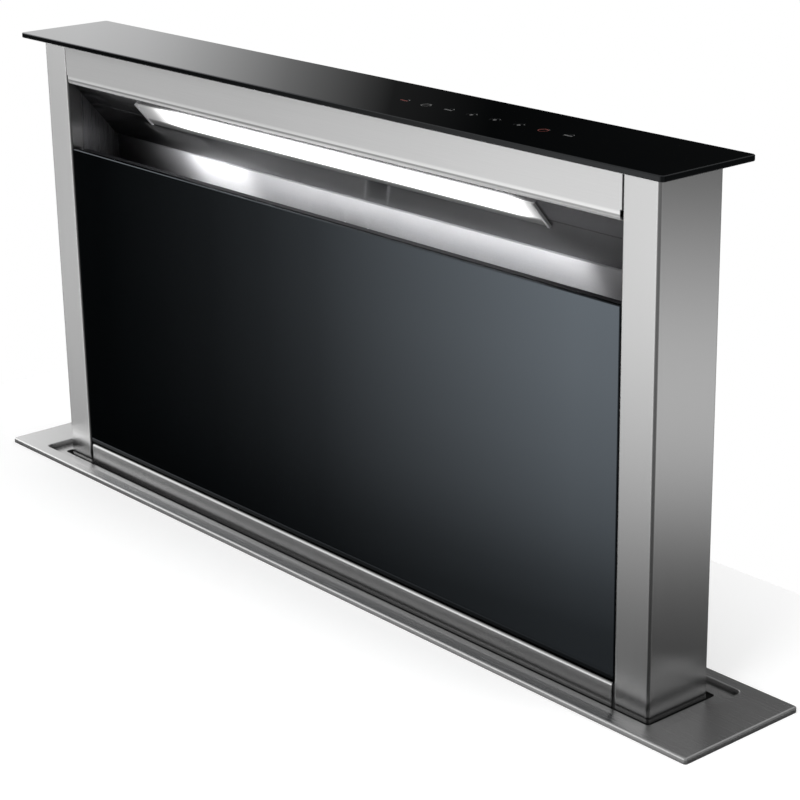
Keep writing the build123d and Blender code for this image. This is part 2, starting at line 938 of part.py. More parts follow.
def guide_bushes():
    """Flanged polymer bushes, pressed in from below and above each boss."""
    bushes = []
    for z in slider_heights():
        for face, way in ((z - boss_height / 2, 1), (z + boss_height / 2, -1)):
            sleeve = sorted((face, face + way * (boss_height / 2 - bush_end_gap)))
            collar = sorted((face, face - way * bush_flange_thickness))
            bush = round_z(rod_x, rod_back, sleeve, bush_radius)
            bush += round_z(rod_x, rod_back, collar, bush_flange_radius)
            span = (z - boss_height, z + boss_height)
            bore = round_z(rod_x, rod_back, span, rod_radius + bush_running_gap)
            bushes += both_ends(bush - bore)
    return bushes


def belt_clamps():
    """Clamp on each post, its jaws either side of the belt's back strand."""
    high = -clamp_drop
    low = high - clamp_height
    reach = belt_x + belt_width / 2 + clamp_overrun
    gap = belt_thickness / 2 + clamp_gap
    deep = (belt_strand - gap - clamp_jaw, belt_strand + gap + clamp_jaw)
    body = block((half_width, reach), deep, (low, high))
    slot = block(
        (belt_x - belt_width / 2 - clamp_gap, reach + 1),
        (belt_strand - gap, belt_strand + gap),
        (low - 1, high + 1),
    )
    return both_ends(body - slot)


# ---- flange and chassis ------------------------------------------------------------------------
def flange():
    frame = plate(flange_width, flange_depth, (0, flange_thickness), flange_corner_radius)
    frame = fillet(frame.edges().group_by(Axis.Z)[-1], flange_edge_radius)
    recess = plate(recess_width, recess_depth, (-1, flange_thickness + 1), recess_corner_radius)
    frame -= recess
    rim = fillet_recess_edge(frame)
    floor = block(
        (-chassis_half_width, chassis_half_width),
        (-chassis_half_depth, chassis_half_depth),
        (deck, 0),
    )
    opening = plate(slot_width, slot_depth, (deck - 1, 1), post_bend_radius)
    return rim + (floor - opening)


def fillet_recess_edge(frame):
    top = frame.faces().sort_by(Axis.Z)[-1]
    inner = top.inner_wires()[0]
    return fillet(inner.edges(), recess_edge_radius)


def wiper_seal():
    """Black lip seal under the recess floor, close round the tower."""
    outer = plate(
        slot_width + 2 * wiper_margin,
        slot_depth + 2 * wiper_margin,
        (deck - wiper_thickness, deck),
        post_bend_radius + wiper_margin,
    )
    inner = plate(
        tower_width + 2 * wiper_lip_gap,
        tower_depth + 2 * wiper_lip_gap,
        (deck - wiper_thickness - 1, deck + 1),
        post_bend_radius + wiper_lip_gap,
    )
    return outer - inner


def chassis_side(way):
    """Front (way -1) or back (way 1) sheet, with its edges folded inwards at the ends."""
    outside = way * chassis_half_depth
    inside = way * (chassis_half_depth - chassis_sheet)
    y = sorted((outside, inside))
    x = chassis_half_width - chassis_sheet - flat_gap
    solid = block((-x, x), y, (floor_top, deck))
    fold_y = sorted((inside, inside - way * chassis_fold))
    for low, high in ((x - chassis_sheet, x), (-x, -x + chassis_sheet)):
        solid += block((low, high), fold_y, (floor_top + chassis_fold, deck - chassis_fold))
    if way > 0:
        for x in bead_places:
            span = (x - bead_width / 2, x + bead_width / 2)
            tall = shrink((floor_top, deck), bead_margin)
            solid += block(span, (inside - bead_depth, inside), tall)
            solid -= block(
                shrink(span, chassis_sheet),
                (outside - bead_depth, outside + 1),
                shrink(tall, chassis_sheet),
            )
    for cut in rivet_shanks(end_rivets()):
        solid -= cut
    return solid


def chassis_front():
    solid = chassis_side(-1)
    for cut in rivet_shanks(lip_rivets()):
        solid -= cut
    deep = (-chassis_half_depth - 1, -chassis_inside + 1)
    return solid - round_y(fan_offset, deep, fan_z, fan_inlet_radius)


def chassis_ends():
    end = block(
        (chassis_half_width - chassis_sheet, chassis_half_width),
        (-chassis_half_depth, chassis_half_depth),
        (floor_top, deck),
    )
    for cut in rivet_shanks(end_rivets()):
        end -= cut
    return both_ends(end)


def end_rivets():
    """Rivets through the right-hand end sheet into the folds: place and axis."""
    inset = chassis_sheet + chassis_fold / 2
    low, high = shrink((floor_top, deck), 2 * chassis_fold)
    heights = [low + row * (high - low) / (rivet_rows - 1) for row in range(rivet_rows)]
    depths = (-chassis_half_depth + inset, chassis_half_depth - inset)
    return [((chassis_half_width, y, z), "X") for y in depths for z in heights]


def lip_rivets():
    """Rivets through the blower case's lip into the chassis front."""
    x = blower_width / 2 + blower_lip / 2
    low, high = blower_bottom + lip_rivet_rise, blower_top - lip_rivet_drop
    heights = [low + row * (high - low) / (lip_rivet_rows - 1) for row in range(lip_rivet_rows)]
    return [((side * x, blower_back - blower_sheet, z), "Y") for side in (-1, 1) for z in heights]


def rivet(place, axis, radius, span):
    """A cylinder of a rivet, its span counted inwards from the sheet's outside."""
    x, y, z = place
    if axis == "X":
        return round_x((x - span[1], x - span[0]), y, z, radius)
    return round_y(x, (y + span[0], y + span[1]), z, radius)


def rivet_shanks(places):
    """Round cuts for rivets: end rivets at both ends, others as placed."""
    cuts = []
    for place, axis in places:
        cut = rivet(place, axis, rivet_radius + rivet_clearance, (-1, rivet_grip + 1))
        cuts += both_ends(cut) if axis == "X" else [cut]
    return cuts


def case_rivets():
    """Pan-head rivets of the chassis and the blower case."""
    rivets = []
    for place, axis in end_rivets() + lip_rivets() + cover_rivets():
        shank = rivet(place, axis, rivet_radius, (-0.5, rivet_grip))
        head = rivet(place, axis, rivet_head_radius, (-rivet_head_height, 0))
        piece = shank + head
        rivets += both_ends(piece) if axis == "X" else [piece]
    return rivets


def chassis_floor():
    return block(
        (-chassis_half_width, chassis_half_width),
        (-chassis_half_depth, chassis_half_depth),
        (chassis_bottom, floor_top),
    )


# ---- lift --------------------------------------------------------------------------------------
def rod_span():
    return floor_top, deck - rod_end_gap


def guide_rods():
    low, high = rod_span()
    return both_ends(round_z(rod_x, rod_back, (low, high), rod_radius))


def rod_holders():
    """Blocks that hold each rod to the chassis end, near the deck and on the floor."""
    low, high = rod_span()
    margin = rod_radius + rod_holder_margin
    holders = []
    for z in ((high - rod_holder_height, high), (low, low + rod_holder_height)):
        body = block(
            (rod_x - margin, chassis_half_width - chassis_sheet),
            (rod_back - margin, rod_back + margin),
            z,
        )
        fold = block(
            (chassis_half_width - 2 * chassis_sheet - 2 * flat_gap, chassis_half_width),
            (chassis_inside - chassis_fold - flat_gap, chassis_half_depth),
            (z[0] - 1, z[1] + 1),
        )
        body -= round_z(rod_x, rod_back, (z[0] - 1, z[1] + 1), rod_radius)
        holders += both_ends(body - fold)
    return holders


def belt_span():
    return belt_x - belt_width / 2, belt_x + belt_width / 2


def belt_loop(radius):
    """Section of a belt loop round its two pulleys, drawn in (y, z)."""
    length = idler_z - shaft_z
    middle = (idler_z + shaft_z) / 2
    loop = Pos(belt_centre, middle) * Rot(0, 0, 90) * SlotCenterToCenter(length, 2 * radius)
    return loop


def drive_belts():
    outer = belt_loop(belt_pitch_radius + belt_thickness / 2)
    inner = belt_loop(belt_pitch_radius - belt_thickness / 2)
    low, high = belt_span()
    return both_ends(along_x(outer, low, high) - along_x(inner, low, high))


def pulley(z, bore):
    """Flanged belt pulley on the right-hand end's axis."""
    low, high = belt_span()
    low -= pulley_side_gap
    high += pulley_side_gap
    body = round_x((low, high), belt_centre, z, pulley_radius)
    rim = belt_pitch_radius + pulley_flange
    for span in ((low - pulley_flange_thickness, low), (high, high + pulley_flange_thickness)):
        body += round_x(span, belt_centre, z, rim)
    return body - round_x((low - 5, high + 5), belt_centre, z, bore)


def idler_pulleys():
    return both_ends(pulley(idler_z, axle_radius + running_gap))


def drive_pulleys():
    return both_ends(pulley(shaft_z, shaft_radius))


def idler_axles():
    """Stub axle on a plate against each chassis end."""
    low, high = belt_span()
    inner_end = low - pulley_side_gap - pulley_flange_thickness - axle_head_gap
    wall = chassis_half_width - chassis_sheet
    axle = round_x((inner_end, wall - axle_plate + 1), belt_centre, idler_z, axle_radius)
    head = (inner_end - axle_head_thickness, inner_end)
    axle += round_x(head, belt_centre, idler_z, axle_head_radius)
    half = axle_plate_width / 2
    deep = (belt_centre - half, belt_centre + half)
    base = block((wall - axle_plate, wall), deep, (idler_z - half, idler_z + half))
    return both_ends(axle + base)


def drive_shaft():
    end = belt_x + belt_width / 2 + pulley_side_gap + pulley_flange_thickness + shaft_overrun
    return round_x((-end, end), belt_centre, shaft_z, shaft_radius)


def bearing_blocks():
    middle = belt_x - belt_width / 2 - bearing_inset
    x = (middle - bearing_length / 2, middle + bearing_length / 2)
    half = bearing_size / 2
    body = block(x, (belt_centre - half, belt_centre + half), (floor_top, shaft_z))
    body += round_x(x, belt_centre, shaft_z, half)
    body -= round_x((x[0] - 1, x[1] + 1), belt_centre, shaft_z, shaft_radius + running_gap)
    return both_ends(body)


def lift_gearbox():
    """Worm gearbox whose hollow output sits on the drive shaft."""
    reach = shaft_radius + gearbox_wall
    body = block(
        (-gearbox_length / 2, gearbox_length / 2),
        (belt_centre - reach, motor_back + motor_radius + gearbox_motor_margin),
        (floor_top, shaft_z + reach),
    )
    body = chamfer(body.edges().filter_by(Axis.X).group_by(Axis.Z)[-1], gearbox_chamfer)
    hub = gearbox_length / 2 + gearbox_hub_length
    body += round_x((-hub, hub), belt_centre, shaft_z, shaft_radius + gearbox_hub_wall)
    return body - round_x((-hub - 1, hub + 1), belt_centre, shaft_z, shaft_radius + running_gap)


def lift_motor():
    """Motor can along the chassis, bolted to the gearbox's side."""
    start = gearbox_length / 2
    end = start + motor_length
    height = shaft_z - motor_drop
    can = round_x((start, end), motor_back, height, motor_radius)
    can = chamfer(can.edges().sort_by(Axis.X)[-1], motor_chamfer)
    return can + round_x((end, end + motor_boss_length), motor_back, height, motor_boss_radius)


# ---- blower ------------------------------------------------------------------------------------
def blower_case():
    half = blower_width / 2
    y = (blower_front, blower_back)
    solid = block((-half, half), y, (blower_bottom, blower_top))
    solid -= block(
        (-half + blower_sheet, half - blower_sheet),
        (y[0] - 1, y[1] + 1),
        (blower_bottom + blower_sheet, blower_top - blower_sheet),
    )
    lip = block(
        (-half - blower_lip, half + blower_lip),
        (blower_back - blower_sheet, blower_back),
        (blower_bottom, blower_top + blower_lip),
    )
    lip -= block(
        (-half + blower_sheet, half - blower_sheet),
        (blower_back - 2 * blower_sheet, blower_back + 1),
        (blower_bottom + blower_sheet, blower_top - blower_sheet),
    )
    solid += lip
    inside = (shrink((-half, half), blower_sheet), shrink((blower_bottom, blower_top), blower_sheet))
    fold = block(inside[0], (blower_front, blower_front + blower_sheet), inside[1])
    fold -= block(
        shrink((-half, half), blower_lip),
        (blower_front - 1, blower_front + 2 * blower_sheet),
        shrink((blower_bottom, blower_top), blower_lip),
    )
    solid += fold
    for cut in rivet_shanks(cover_rivets() + lip_rivets()):
        solid -= cut
    return solid - round_x((half - 5, half + 5), outlet_y, outlet_z, collar_inside)


def cover_rivets():
    """Rivets through the cover into the blower case's front fold."""
    x = blower_width / 2 - blower_lip / 2
    low, high = shrink((blower_bottom, blower_top), blower_lip / 2)
    step = (high - low) / (cover_rivet_rows - 1)
    heights = [low + row * step for row in range(cover_rivet_rows)]
    y = blower_front - blower_sheet
    places = [((side * x, y, z), "Y") for side in (-1, 1) for z in heights]
    return places + [((0, y, z), "Y") for z in (low, high)]


def blower_cover():
    """Front sheet with a round dish that holds the fan's motor."""
    half = blower_width / 2
    solid = block((-half, half), (blower_front - blower_sheet, blower_front), (blower_bottom, blower_top))
    dish_front = blower_front - dish_depth
    outside = fan_motor_radius + dish_margin
    inside = outside - blower_sheet
    solid += round_y(fan_offset, (dish_front, blower_front), fan_z, outside)
    solid -= round_y(fan_offset, (dish_front + blower_sheet, blower_front + 1), fan_z, inside)
    for cut in rivet_shanks(cover_rivets()):
        solid -= cut
    return solid


def scroll_point(angle, extra):
    """A point of the spiral in (x, z), angle in degrees round from +X towards +Z."""
    radius = scroll_start + scroll_growth * angle / scroll_turn + extra
    turn = math.radians(angle)
    return fan_offset + radius * math.cos(turn), fan_z + radius * math.sin(turn)


def scroll():
    """Spiral wall and inlet plate that turn the fan's air towards the outlet."""
    count = int(scroll_turn / scroll_step) + 1
    inner = [scroll_point(scroll_step * number, 0) for number in range(count)]
    outer = [scroll_point(scroll_step * number, scroll_sheet) for number in range(count)]
    tangents = [(0, 1), (1, 0)]
    inside = Spline(*inner, tangents=tangents)
    outside = Spline(*outer, tangents=tangents)
    wall = make_face([inside, Line(inner[-1], outer[-1]), outside, Line(outer[0], inner[0])])
    near = scroll_back - scroll_sheet
    far = blower_front + blower_sheet + flat_gap
    facing = Plane(origin=(0, near, 0), x_dir=(1, 0, 0), z_dir=(0, -1, 0))
    solid = extrude(facing * wall, near - far)
    end_x = outlet_x - blower_sheet - flat_gap
    solid += block((inner[-1][0], end_x), (far, near), (outer[-1][1], inner[-1][1]))
    solid += block((inner[0][0], end_x), (far, near), (fan_z - scroll_sheet, fan_z))
    half = blower_width / 2 - blower_sheet - flat_gap
    sheet = block(
        (-half, half),
        (near, scroll_back),
        (blower_bottom + blower_sheet + flat_gap, blower_top - blower_sheet - flat_gap),
    )
    return solid + (sheet - round_y(fan_offset, (near - 1, scroll_back + 1), fan_z, fan_inlet_radius))


def impeller():
    """Forward-curved fan: disc with its hub, front ring, and the blades between them."""
    disc_back = fan_front + fan_ring_thickness
    ring_front = fan_back - fan_ring_thickness
    disc = round_y(fan_offset, (fan_front, disc_back), fan_z, fan_radius)
    disc += round_y(fan_offset, (fan_front, fan_front + fan_hub_length), fan_z, fan_hub_radius)
    bore = (fan_front - 1, fan_back)
    disc -= round_y(fan_offset, bore, fan_z, fan_shaft_radius + running_gap)
    ring = round_y(fan_offset, (ring_front, fan_back), fan_z, fan_radius)
    eye = (ring_front - 1, fan_back + 1)
    ring -= round_y(fan_offset, eye, fan_z, fan_radius - fan_blade_depth)
    blade = block(
        (fan_radius - fan_blade_depth, fan_radius - fan_blade_tip_gap),
        (disc_back, ring_front),
        (-fan_blade_thickness / 2, fan_blade_thickness / 2),
    )
    blade_middle = fan_radius - fan_blade_depth / 2
    lean = Pos(blade_middle, 0, 0) * Rot(0, fan_blade_lean, 0) * Pos(-blade_middle, 0, 0)
    blades = [
        Pos(fan_offset, 0, fan_z) * Rot(0, 360 / fan_blades * number, 0) * lean * blade
        for number in range(fan_blades)
    ]
    return [disc, ring] + blades


def fan_motor():
    """Motor on the cover, its shaft in the fan's hub."""
    y = (fan_front - fan_motor_gap - fan_motor_length, fan_front - fan_motor_gap)
    can = round_y(fan_offset, y, fan_z, fan_motor_radius)
    can = fillet(can.edges().filter_by(GeomType.CIRCLE), fan_motor_edge)
    seat = blower_front - dish_depth + blower_sheet
    can += round_y(fan_offset, (seat, y[0] + 1), fan_z, fan_motor_foot_radius)
    shaft = (y[1] - 1, fan_front + fan_hub_length + fan_shaft_overrun)
    return can + round_y(fan_offset, shaft, fan_z, fan_shaft_radius)


# ---- outlet ------------------------------------------------------------------------------------
def outlet_collar():
    """Duct collar on a square plate, with a stop for each flap and seats for their pin."""
    x = (outlet_x, outlet_x + collar_length)
    half = collar_radius + collar_margin
    tall = (outlet_z - half, outlet_z + half)
    solid = block((x[0], x[0] + collar_wall), (outlet_y - half, outlet_y + half), tall)
    solid += round_x(x, outlet_y, outlet_z, collar_radius)
    solid -= round_x((x[0] - 1, x[1] + 1), outlet_y, outlet_z, collar_inside)
    stop_x = (flap_x - flap_stop_depth, flap_x - flap_stop_gap)
    for side in (-1, 1):
        stop_y = sorted((outlet_y + side * collar_radius, outlet_y + side * flap_stop_inner))
        stop = block(stop_x, stop_y, (outlet_z - flap_stop_half, outlet_z + flap_stop_half))
        solid += stop & round_x(x, outlet_y, outlet_z, collar_inside + collar_wall / 2)
    pin_z = (outlet_z - collar_radius, outlet_z + collar_radius)
    return solid - round_z(flap_x, outlet_y, pin_z, flap_pin_radius)


def flap_pin():
    reach = collar_radius - flap_pin_end_gap
    return round_z(flap_x, outlet_y, (outlet_z - reach, outlet_z + reach), flap_pin_radius)


def knuckle_heights(side):
    """Places of one flap's two knuckles: the front flap has the outer pair."""
    step = flap_knuckle_length + flap_knuckle_gap
    return (-1.5 * step, 0.5 * step) if side < 0 else (-0.5 * step, 1.5 * step)


def flap(side):
    """Half disc on two knuckles: front flap for side -1, rear flap for side 1."""
    thick = (flap_x - flap_thickness / 2, flap_x + flap_thickness / 2)
    tall = (outlet_z - collar_radius, outlet_z + collar_radius)
    disc = round_x(thick, outlet_y, outlet_z, collar_inside - flap_rim_gap)
    keep_y = sorted((outlet_y + side * flap_web_gap, outlet_y + side * collar_radius))
    solid = disc & block((thick[0] - 1, thick[1] + 1), keep_y, tall)
    for height in knuckle_heights(side):
        middle = outlet_z + height
        z = (middle - flap_knuckle_length / 2, middle + flap_knuckle_length / 2)
        web_y = sorted((outlet_y, outlet_y + side * (flap_web_gap + 1)))
        solid += round_z(flap_x, outlet_y, z, flap_knuckle_radius)
        solid += block(thick, web_y, z)
    return solid - round_z(flap_x, outlet_y, tall, flap_pin_radius + running_gap)


def flap_springs():
    """Closing springs on the pin, above and below the knuckles."""
    height = spring_turns * spring_pitch
    end = 2 * (flap_knuckle_length + flap_knuckle_gap) + spring_end_gap
    springs = []
    for low in (outlet_z - end - height, outlet_z + end):
        path = Helix(spring_pitch, height, spring_coil_radius)
        profile = Plane(origin=path @ 0, z_dir=path % 0) * Circle(spring_wire / 2)
        coil = sweep(profile, path=path)
        springs.append(Pos(flap_x, outlet_y, low) * coil)
    return springs


# ---- control box and fixings -------------------------------------------------------------------
def control_spans():
    x = (-control_left, -control_left + control_width)
    y = (-chassis_half_depth - control_depth, -chassis_half_depth)
    z = (-control_drop - control_height, -control_drop)
    return x, y, z


def control_box():
    x, y, z = control_spans()
    solid = block(x, y, z)
    solid -= block(shrink(x, control_wall), (y[0] - 1, y[1] - control_wall), shrink(z, control_wall))
    gland_x, gland_y = gland_place()
    return solid - round_z(gland_x, gland_y, (z[0] - 1, z[0] + 3), gland_radius)


def control_cover():
    """Lid with its four screws."""
    x, y, z = control_spans()
    solid = block(x, (y[0] - control_lid, y[0]), z)
    solid = chamfer(solid.faces().sort_by(Axis.Y)[0].edges(), control_lid_chamfer)
    head = (y[0] - control_lid - lid_screw_height, y[0] - control_lid)
    for screw_x in shrink(x, lid_screw_inset):
        for screw_z in shrink(z, lid_screw_inset):
            solid += round_y(screw_x, head, screw_z, lid_screw_radius)
    return solid


def gland_place():
    x, y, z = control_spans()
    return x[1] - gland_inset, (y[0] + y[1]) / 2


def cable_gland():
    x, y, z = control_spans()
    gland_x, gland_y = gland_place()
    low = z[0] - gland_length
    high = z[0] + gland_inner_length
    solid = round_z(gland_x, gland_y, (low, high), gland_radius)
    nut = Pos(gland_x, gland_y, z[0] - gland_collar_length) * RegularPolygon(gland_collar, 6)
    solid += extrude(nut, gland_collar_length)
    inner_nut = Pos(gland_x, gland_y, z[0] + control_wall) * RegularPolygon(gland_collar - 1, 6)
    solid += extrude(inner_nut, gland_nut_length)
    return solid - round_z(gland_x, gland_y, (low - 1, high + 1), gland_bore)


def control_board():
    """Circuit board on stand-offs with its transformer, capacitor, relays and terminals."""
    x, y, z = control_spans()
    seat = y[1] - control_wall
    face = seat - standoff_height
    top = face - board_thickness
    board = block(shrink(x, board_margin), (top, face), shrink(z, board_margin))
    for post_x in shrink(x, board_margin + standoff_inset):
        for post_z in shrink(z, board_margin + standoff_inset):
            board += round_y(post_x, (top, seat), post_z, standoff_radius)

    def on_board(left, low, size):
        """A component's box by its place from the box's lower left corner."""
        wide, deep, tall = size
        span_x = (x[0] + left, x[0] + left + wide)
        return block(span_x, (top - deep, top), (z[0] + low, z[0] + low + tall))

    parts = [board, on_board(*transformer_place, transformer_size)]
    for number in range(terminal_count):
        parts.append(on_board(terminal_left + terminal_pitch * number, terminal_low, terminal_size))
    for number in range(relay_count):
        parts.append(on_board(relay_left + relay_pitch * number, relay_low, relay_size))
    can_x, can_z = x[0] + capacitor_place[0], z[0] + capacitor_place[1]
    parts.append(round_y(can_x, (top - capacitor_height, top), can_z, capacitor_radius))
    return parts


def worktop_clamps():
    """Jaw on each chassis end with a screw, its pad and nut, that pulls the flange down."""
    wall = chassis_half_width
    z = -worktop_thickness - jaw_drop
    deep = (-jaw_width / 2, jaw_width / 2)
    leg = block((wall, wall + jaw_thickness), deep, (z - jaw_leg, z + jaw_thickness))
    arm = block((wall, wall + jaw_reach), deep, (z, z + jaw_thickness))
    screw_x = wall + jaw_reach - jaw_screw_inset
    bore = jaw_screw_radius + jaw_screw_clearance
    hole = round_z(screw_x, 0, (z - 1, z + jaw_thickness + 1), bore)
    pad_z = (-worktop_thickness - jaw_pad_thickness, -worktop_thickness)
    screw = round_z(screw_x, 0, (z - jaw_screw_tail, pad_z[0]), jaw_screw_radius)
    pad = round_z(screw_x, 0, pad_z, jaw_pad_radius)
    nut = extrude(Pos(screw_x, 0, z - jaw_nut) * RegularPolygon(jaw_nut, 6), jaw_nut)
    nut -= round_z(screw_x, 0, (z - jaw_nut - 1, z + 1), jaw_screw_radius)
    pieces = []
    for piece in (leg + arm - hole, screw + pad, nut):
        pieces += both_ends(piece)
    return pieces


def cabinet_brackets():
    """Angles low on the chassis ends, with two holes each for the cabinet."""
    wall = chassis_half_width
    low = chassis_bottom + cabinet_bracket_rise
    deep = (-bracket_width / 2, bracket_width / 2)
    leg = block((wall, wall + bracket_plate), deep, (low, low + bracket_rise))
    foot = block((wall, wall + bracket_reach), deep, (low, low + bracket_plate))
    solid = leg + foot
    tall = (low - 1, low + bracket_plate + 1)
    hole_x = wall + bracket_reach - cabinet_hole_inset
    for side in (-1, 1):
        solid -= round_z(hole_x, side * cabinet_hole_spacing / 2, tall, cabinet_hole_radius)
    return both_ends(solid)


# ---- every node, by name -----------------------------------------------------------------------
nodes = {
    "cap_glass": cap_glass(),
    "touch_icons": touch_icons(),
    "bonding_tapes": bonding_tapes(),
    "top_plate": top_plate(),
    "touch_module": touch_module(),
    "post_left": post(-1),
    "post_right": post(1),
    "header": header(),
    "inlet_hood": inlet_hood(),
    "duct_back": duct_back_sheet(),
    "duct_cheeks": duct_cheeks(),
    "tower_back": tower_back(),
    "tower_back_screws": [back_screw(x, z) for x, z in tower_screw_places()],
    "led_housing": [led_housing()] + led_end_caps(),
    "led_board": led_board(),
    "led_cover": led_cover(),
    "front_glass": front_glass(),
    "glass_carrier": glass_carrier(),
    "carrier_clips": carrier_clips(),
    "sill": sill(),
    "filter_frames": filter_frames(),
    "filter_meshes": filter_meshes(),
    "filter_ledges": filter_ledges() + filter_dividers(),
    "carriage_frame": carriage_frame(),
    "slider_brackets": slider_brackets(),
    "guide_bushes": guide_bushes(),
    "belt_clamps": belt_clamps(),
    "flange": flange(),
    "wiper_seal": wiper_seal(),
    "chassis_front": chassis_front(),
    "chassis_back": chassis_side(1),
    "chassis_ends": chassis_ends(),
    "chassis_floor": chassis_floor(),
    "case_rivets": case_rivets(),
    "guide_rods": guide_rods(),
    "rod_holders": rod_holders(),
    "drive_belts": drive_belts(),
    "idler_pulleys": idler_pulleys(),
    "drive_pulleys": drive_pulleys(),
    "idler_axles": idler_axles(),
    "drive_shaft": drive_shaft(),
    "bearing_blocks": bearing_blocks(),
    "lift_gearbox": lift_gearbox(),
    "lift_motor": lift_motor(),
    "blower_case": blower_case(),
    "blower_cover": blower_cover(),
    "scroll": scroll(),
    "impeller": impeller(),
    "fan_motor": fan_motor(),
    "outlet_collar": outlet_collar(),
    "flap_pin": flap_pin(),
    "flap_front": flap(-1),
    "flap_rear": flap(1),
    "flap_springs": flap_springs(),
    "control_box": control_box(),
    "control_cover": control_cover(),
    "control_board": control_board(),
    "cable_gland": cable_gland(),
    "worktop_clamps": worktop_clamps(),
    "cabinet_brackets": cabinet_brackets(),
}

os.makedirs("parts", exist_ok=True)
for name, shape in nodes.items():
    if isinstance(shape, list):
        shape = Compound(children=shape)
    export_step(shape, f"parts/{name}.step")
print(len(nodes), "nodes")
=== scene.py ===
"""Looks for the downdraft vent: camera, worktop, studio light and procedural materials."""

import json
from math import radians

import bmesh
import bpy
from mathutils import Euler, Matrix, Vector

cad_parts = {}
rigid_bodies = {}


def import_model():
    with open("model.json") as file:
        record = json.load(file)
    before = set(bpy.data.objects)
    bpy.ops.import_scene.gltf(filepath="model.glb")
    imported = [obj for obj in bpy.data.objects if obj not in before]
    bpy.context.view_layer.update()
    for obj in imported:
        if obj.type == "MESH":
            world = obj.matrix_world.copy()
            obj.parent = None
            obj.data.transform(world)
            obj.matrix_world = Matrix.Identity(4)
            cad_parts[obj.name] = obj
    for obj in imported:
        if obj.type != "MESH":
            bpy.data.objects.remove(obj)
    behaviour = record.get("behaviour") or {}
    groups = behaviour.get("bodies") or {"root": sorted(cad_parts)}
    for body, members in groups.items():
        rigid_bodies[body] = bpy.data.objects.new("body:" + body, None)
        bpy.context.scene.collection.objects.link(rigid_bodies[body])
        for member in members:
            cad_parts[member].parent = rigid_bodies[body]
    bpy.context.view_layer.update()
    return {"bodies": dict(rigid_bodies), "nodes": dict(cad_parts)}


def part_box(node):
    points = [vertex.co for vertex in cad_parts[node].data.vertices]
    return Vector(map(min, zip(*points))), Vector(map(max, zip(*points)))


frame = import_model()
scene = bpy.context.scene
nodes = frame["nodes"]

# ---- camera and worktop, in metres where nothing else is said ----
CAMERA_PLACE = (1.3418, -1.0717, 0.7313)
CAMERA_TURN = (49.80, 19.03, -0.95)  # heading left of +Y, tilt down and roll, in degrees
CAMERA_LENS = 98.99  # millimetres
CAMERA_SENSOR = 36  # millimetres
SLAB_X = (-0.60, 0.92)
SLAB_Y = (-0.66, 0.22)
SLAB_THICKNESS = 0.040
CUTOUT_GAP = 0.003

# ---- node helpers ----
BEVEL_SAMPLES = 4
HOLLOW_SAMPLES = 16


def feed(tree, socket, value):
    """Links another node's socket to this one, or sets this one to a number, a colour or a vector."""
    if isinstance(value, bpy.types.NodeSocket):
        tree.links.new(value, socket)
    else:
        socket.default_value = value


def add(tree, kind, inputs=(), **settings):
    """Adds a shader node; inputs gives what to feed its sockets, by their name or number."""
    made = tree.nodes.new("ShaderNode" + kind)
    for name, value in settings.items():
        setattr(made, name, value)
    for name, value in dict(inputs).items():
        feed(tree, made.inputs[name], value)
    return made


def calc(tree, operation, first, second=0.0):
    return add(tree, "Math", {0: first, 1: second}, operation=operation).outputs[0]


def remap(tree, value, low, high, to_low=0.0, to_high=1.0, smooth=False):
    kind = "SMOOTHSTEP" if smooth else "LINEAR"
    inputs = {"Value": value, "From Min": low, "From Max": high, "To Min": to_low, "To Max": to_high}
    return add(tree, "MapRange", inputs, interpolation_type=kind).outputs["Result"]


def mix_colour(tree, amount, first, second, blend="MIX"):
    inputs = {0: amount, 6: first, 7: second}
    return add(tree, "Mix", inputs, data_type="RGBA", blend_type=blend).outputs[2]


def grey(level):
    return (level, level, level, 1.0)


def grey_from(tree, level):
    """A grey whose level is another node's socket."""
    return add(tree, "CombineColor", {channel: level for channel in range(3)}).outputs[0]


def scaled(colour, factor):
    return tuple(part * factor for part in colour[:3]) + (1.0,)


def darkened(tree, shade, amount):
    return mix_colour(tree, amount, shade, grey(0.0))


def ramp(tree, value, stops):
    """A colour ramp of grey levels between the first and last stop's places."""
    first, last = stops[0][0], stops[-1][0]
    made = add(tree, "ValToRGB", {0: remap(tree, value, first, last)})
    elements = made.color_ramp.elements
    elements[0].color, elements[1].color = grey(stops[0][1]), grey(stops[-1][1])
    for place, level in stops[1:-1]:
        elements.new((place - first) / (last - first)).color = grey(level)
    return made.outputs["Color"]


def coordinate(tree, kind, letter):
    """The X, Y or Z part of the place on the object (kind Object) or of its normal (kind Normal)."""
    return add(tree, "SeparateXYZ", {0: add(tree, "TexCoord").outputs[kind]}).outputs[letter]


def any_ray(tree, *kinds):
    """1 for rays of any of the kinds named, and 0 for others."""
    path = add(tree, "LightPath")
    found = path.outputs[kinds[0]]
    for kind in kinds[1:]:
        found = calc(tree, "MAXIMUM", found, path.outputs[kind])
    return found


def noise(tree, scale, detail=2.0, seed=(0, 0, 0)):
    """Noise in object space; three scales instead of one draw it out along the axis with the smallest."""
    scale = scale if isinstance(scale, tuple) else (scale, scale, scale)
    place = add(tree, "TexCoord").outputs["Object"]
    place = add(tree, "Mapping", {"Vector": place, "Scale": scale, "Location": seed}).outputs[0]
    return add(tree, "TexNoise", {"Vector": place, "Scale": 1.0, "Detail": detail}).outputs["Fac"]


NOISE_SPAN = (0.3, 0.7)  # nearly all values of a noise lie between these
NOISE_CORE = (0.35, 0.65)  # a narrower choice, for more contrast


def graded(tree, value, low=0.0, high=1.0, span=NOISE_SPAN):
    """A noise stretched to run from low to high."""
    return remap(tree, value, *span, low, high)


def blended(tree, first, second, share):
    """A sum of two noises, in which the first has the share given."""
    return calc(tree, "ADD", calc(tree, "MULTIPLY", first, share), calc(tree, "MULTIPLY", second, 1 - share))


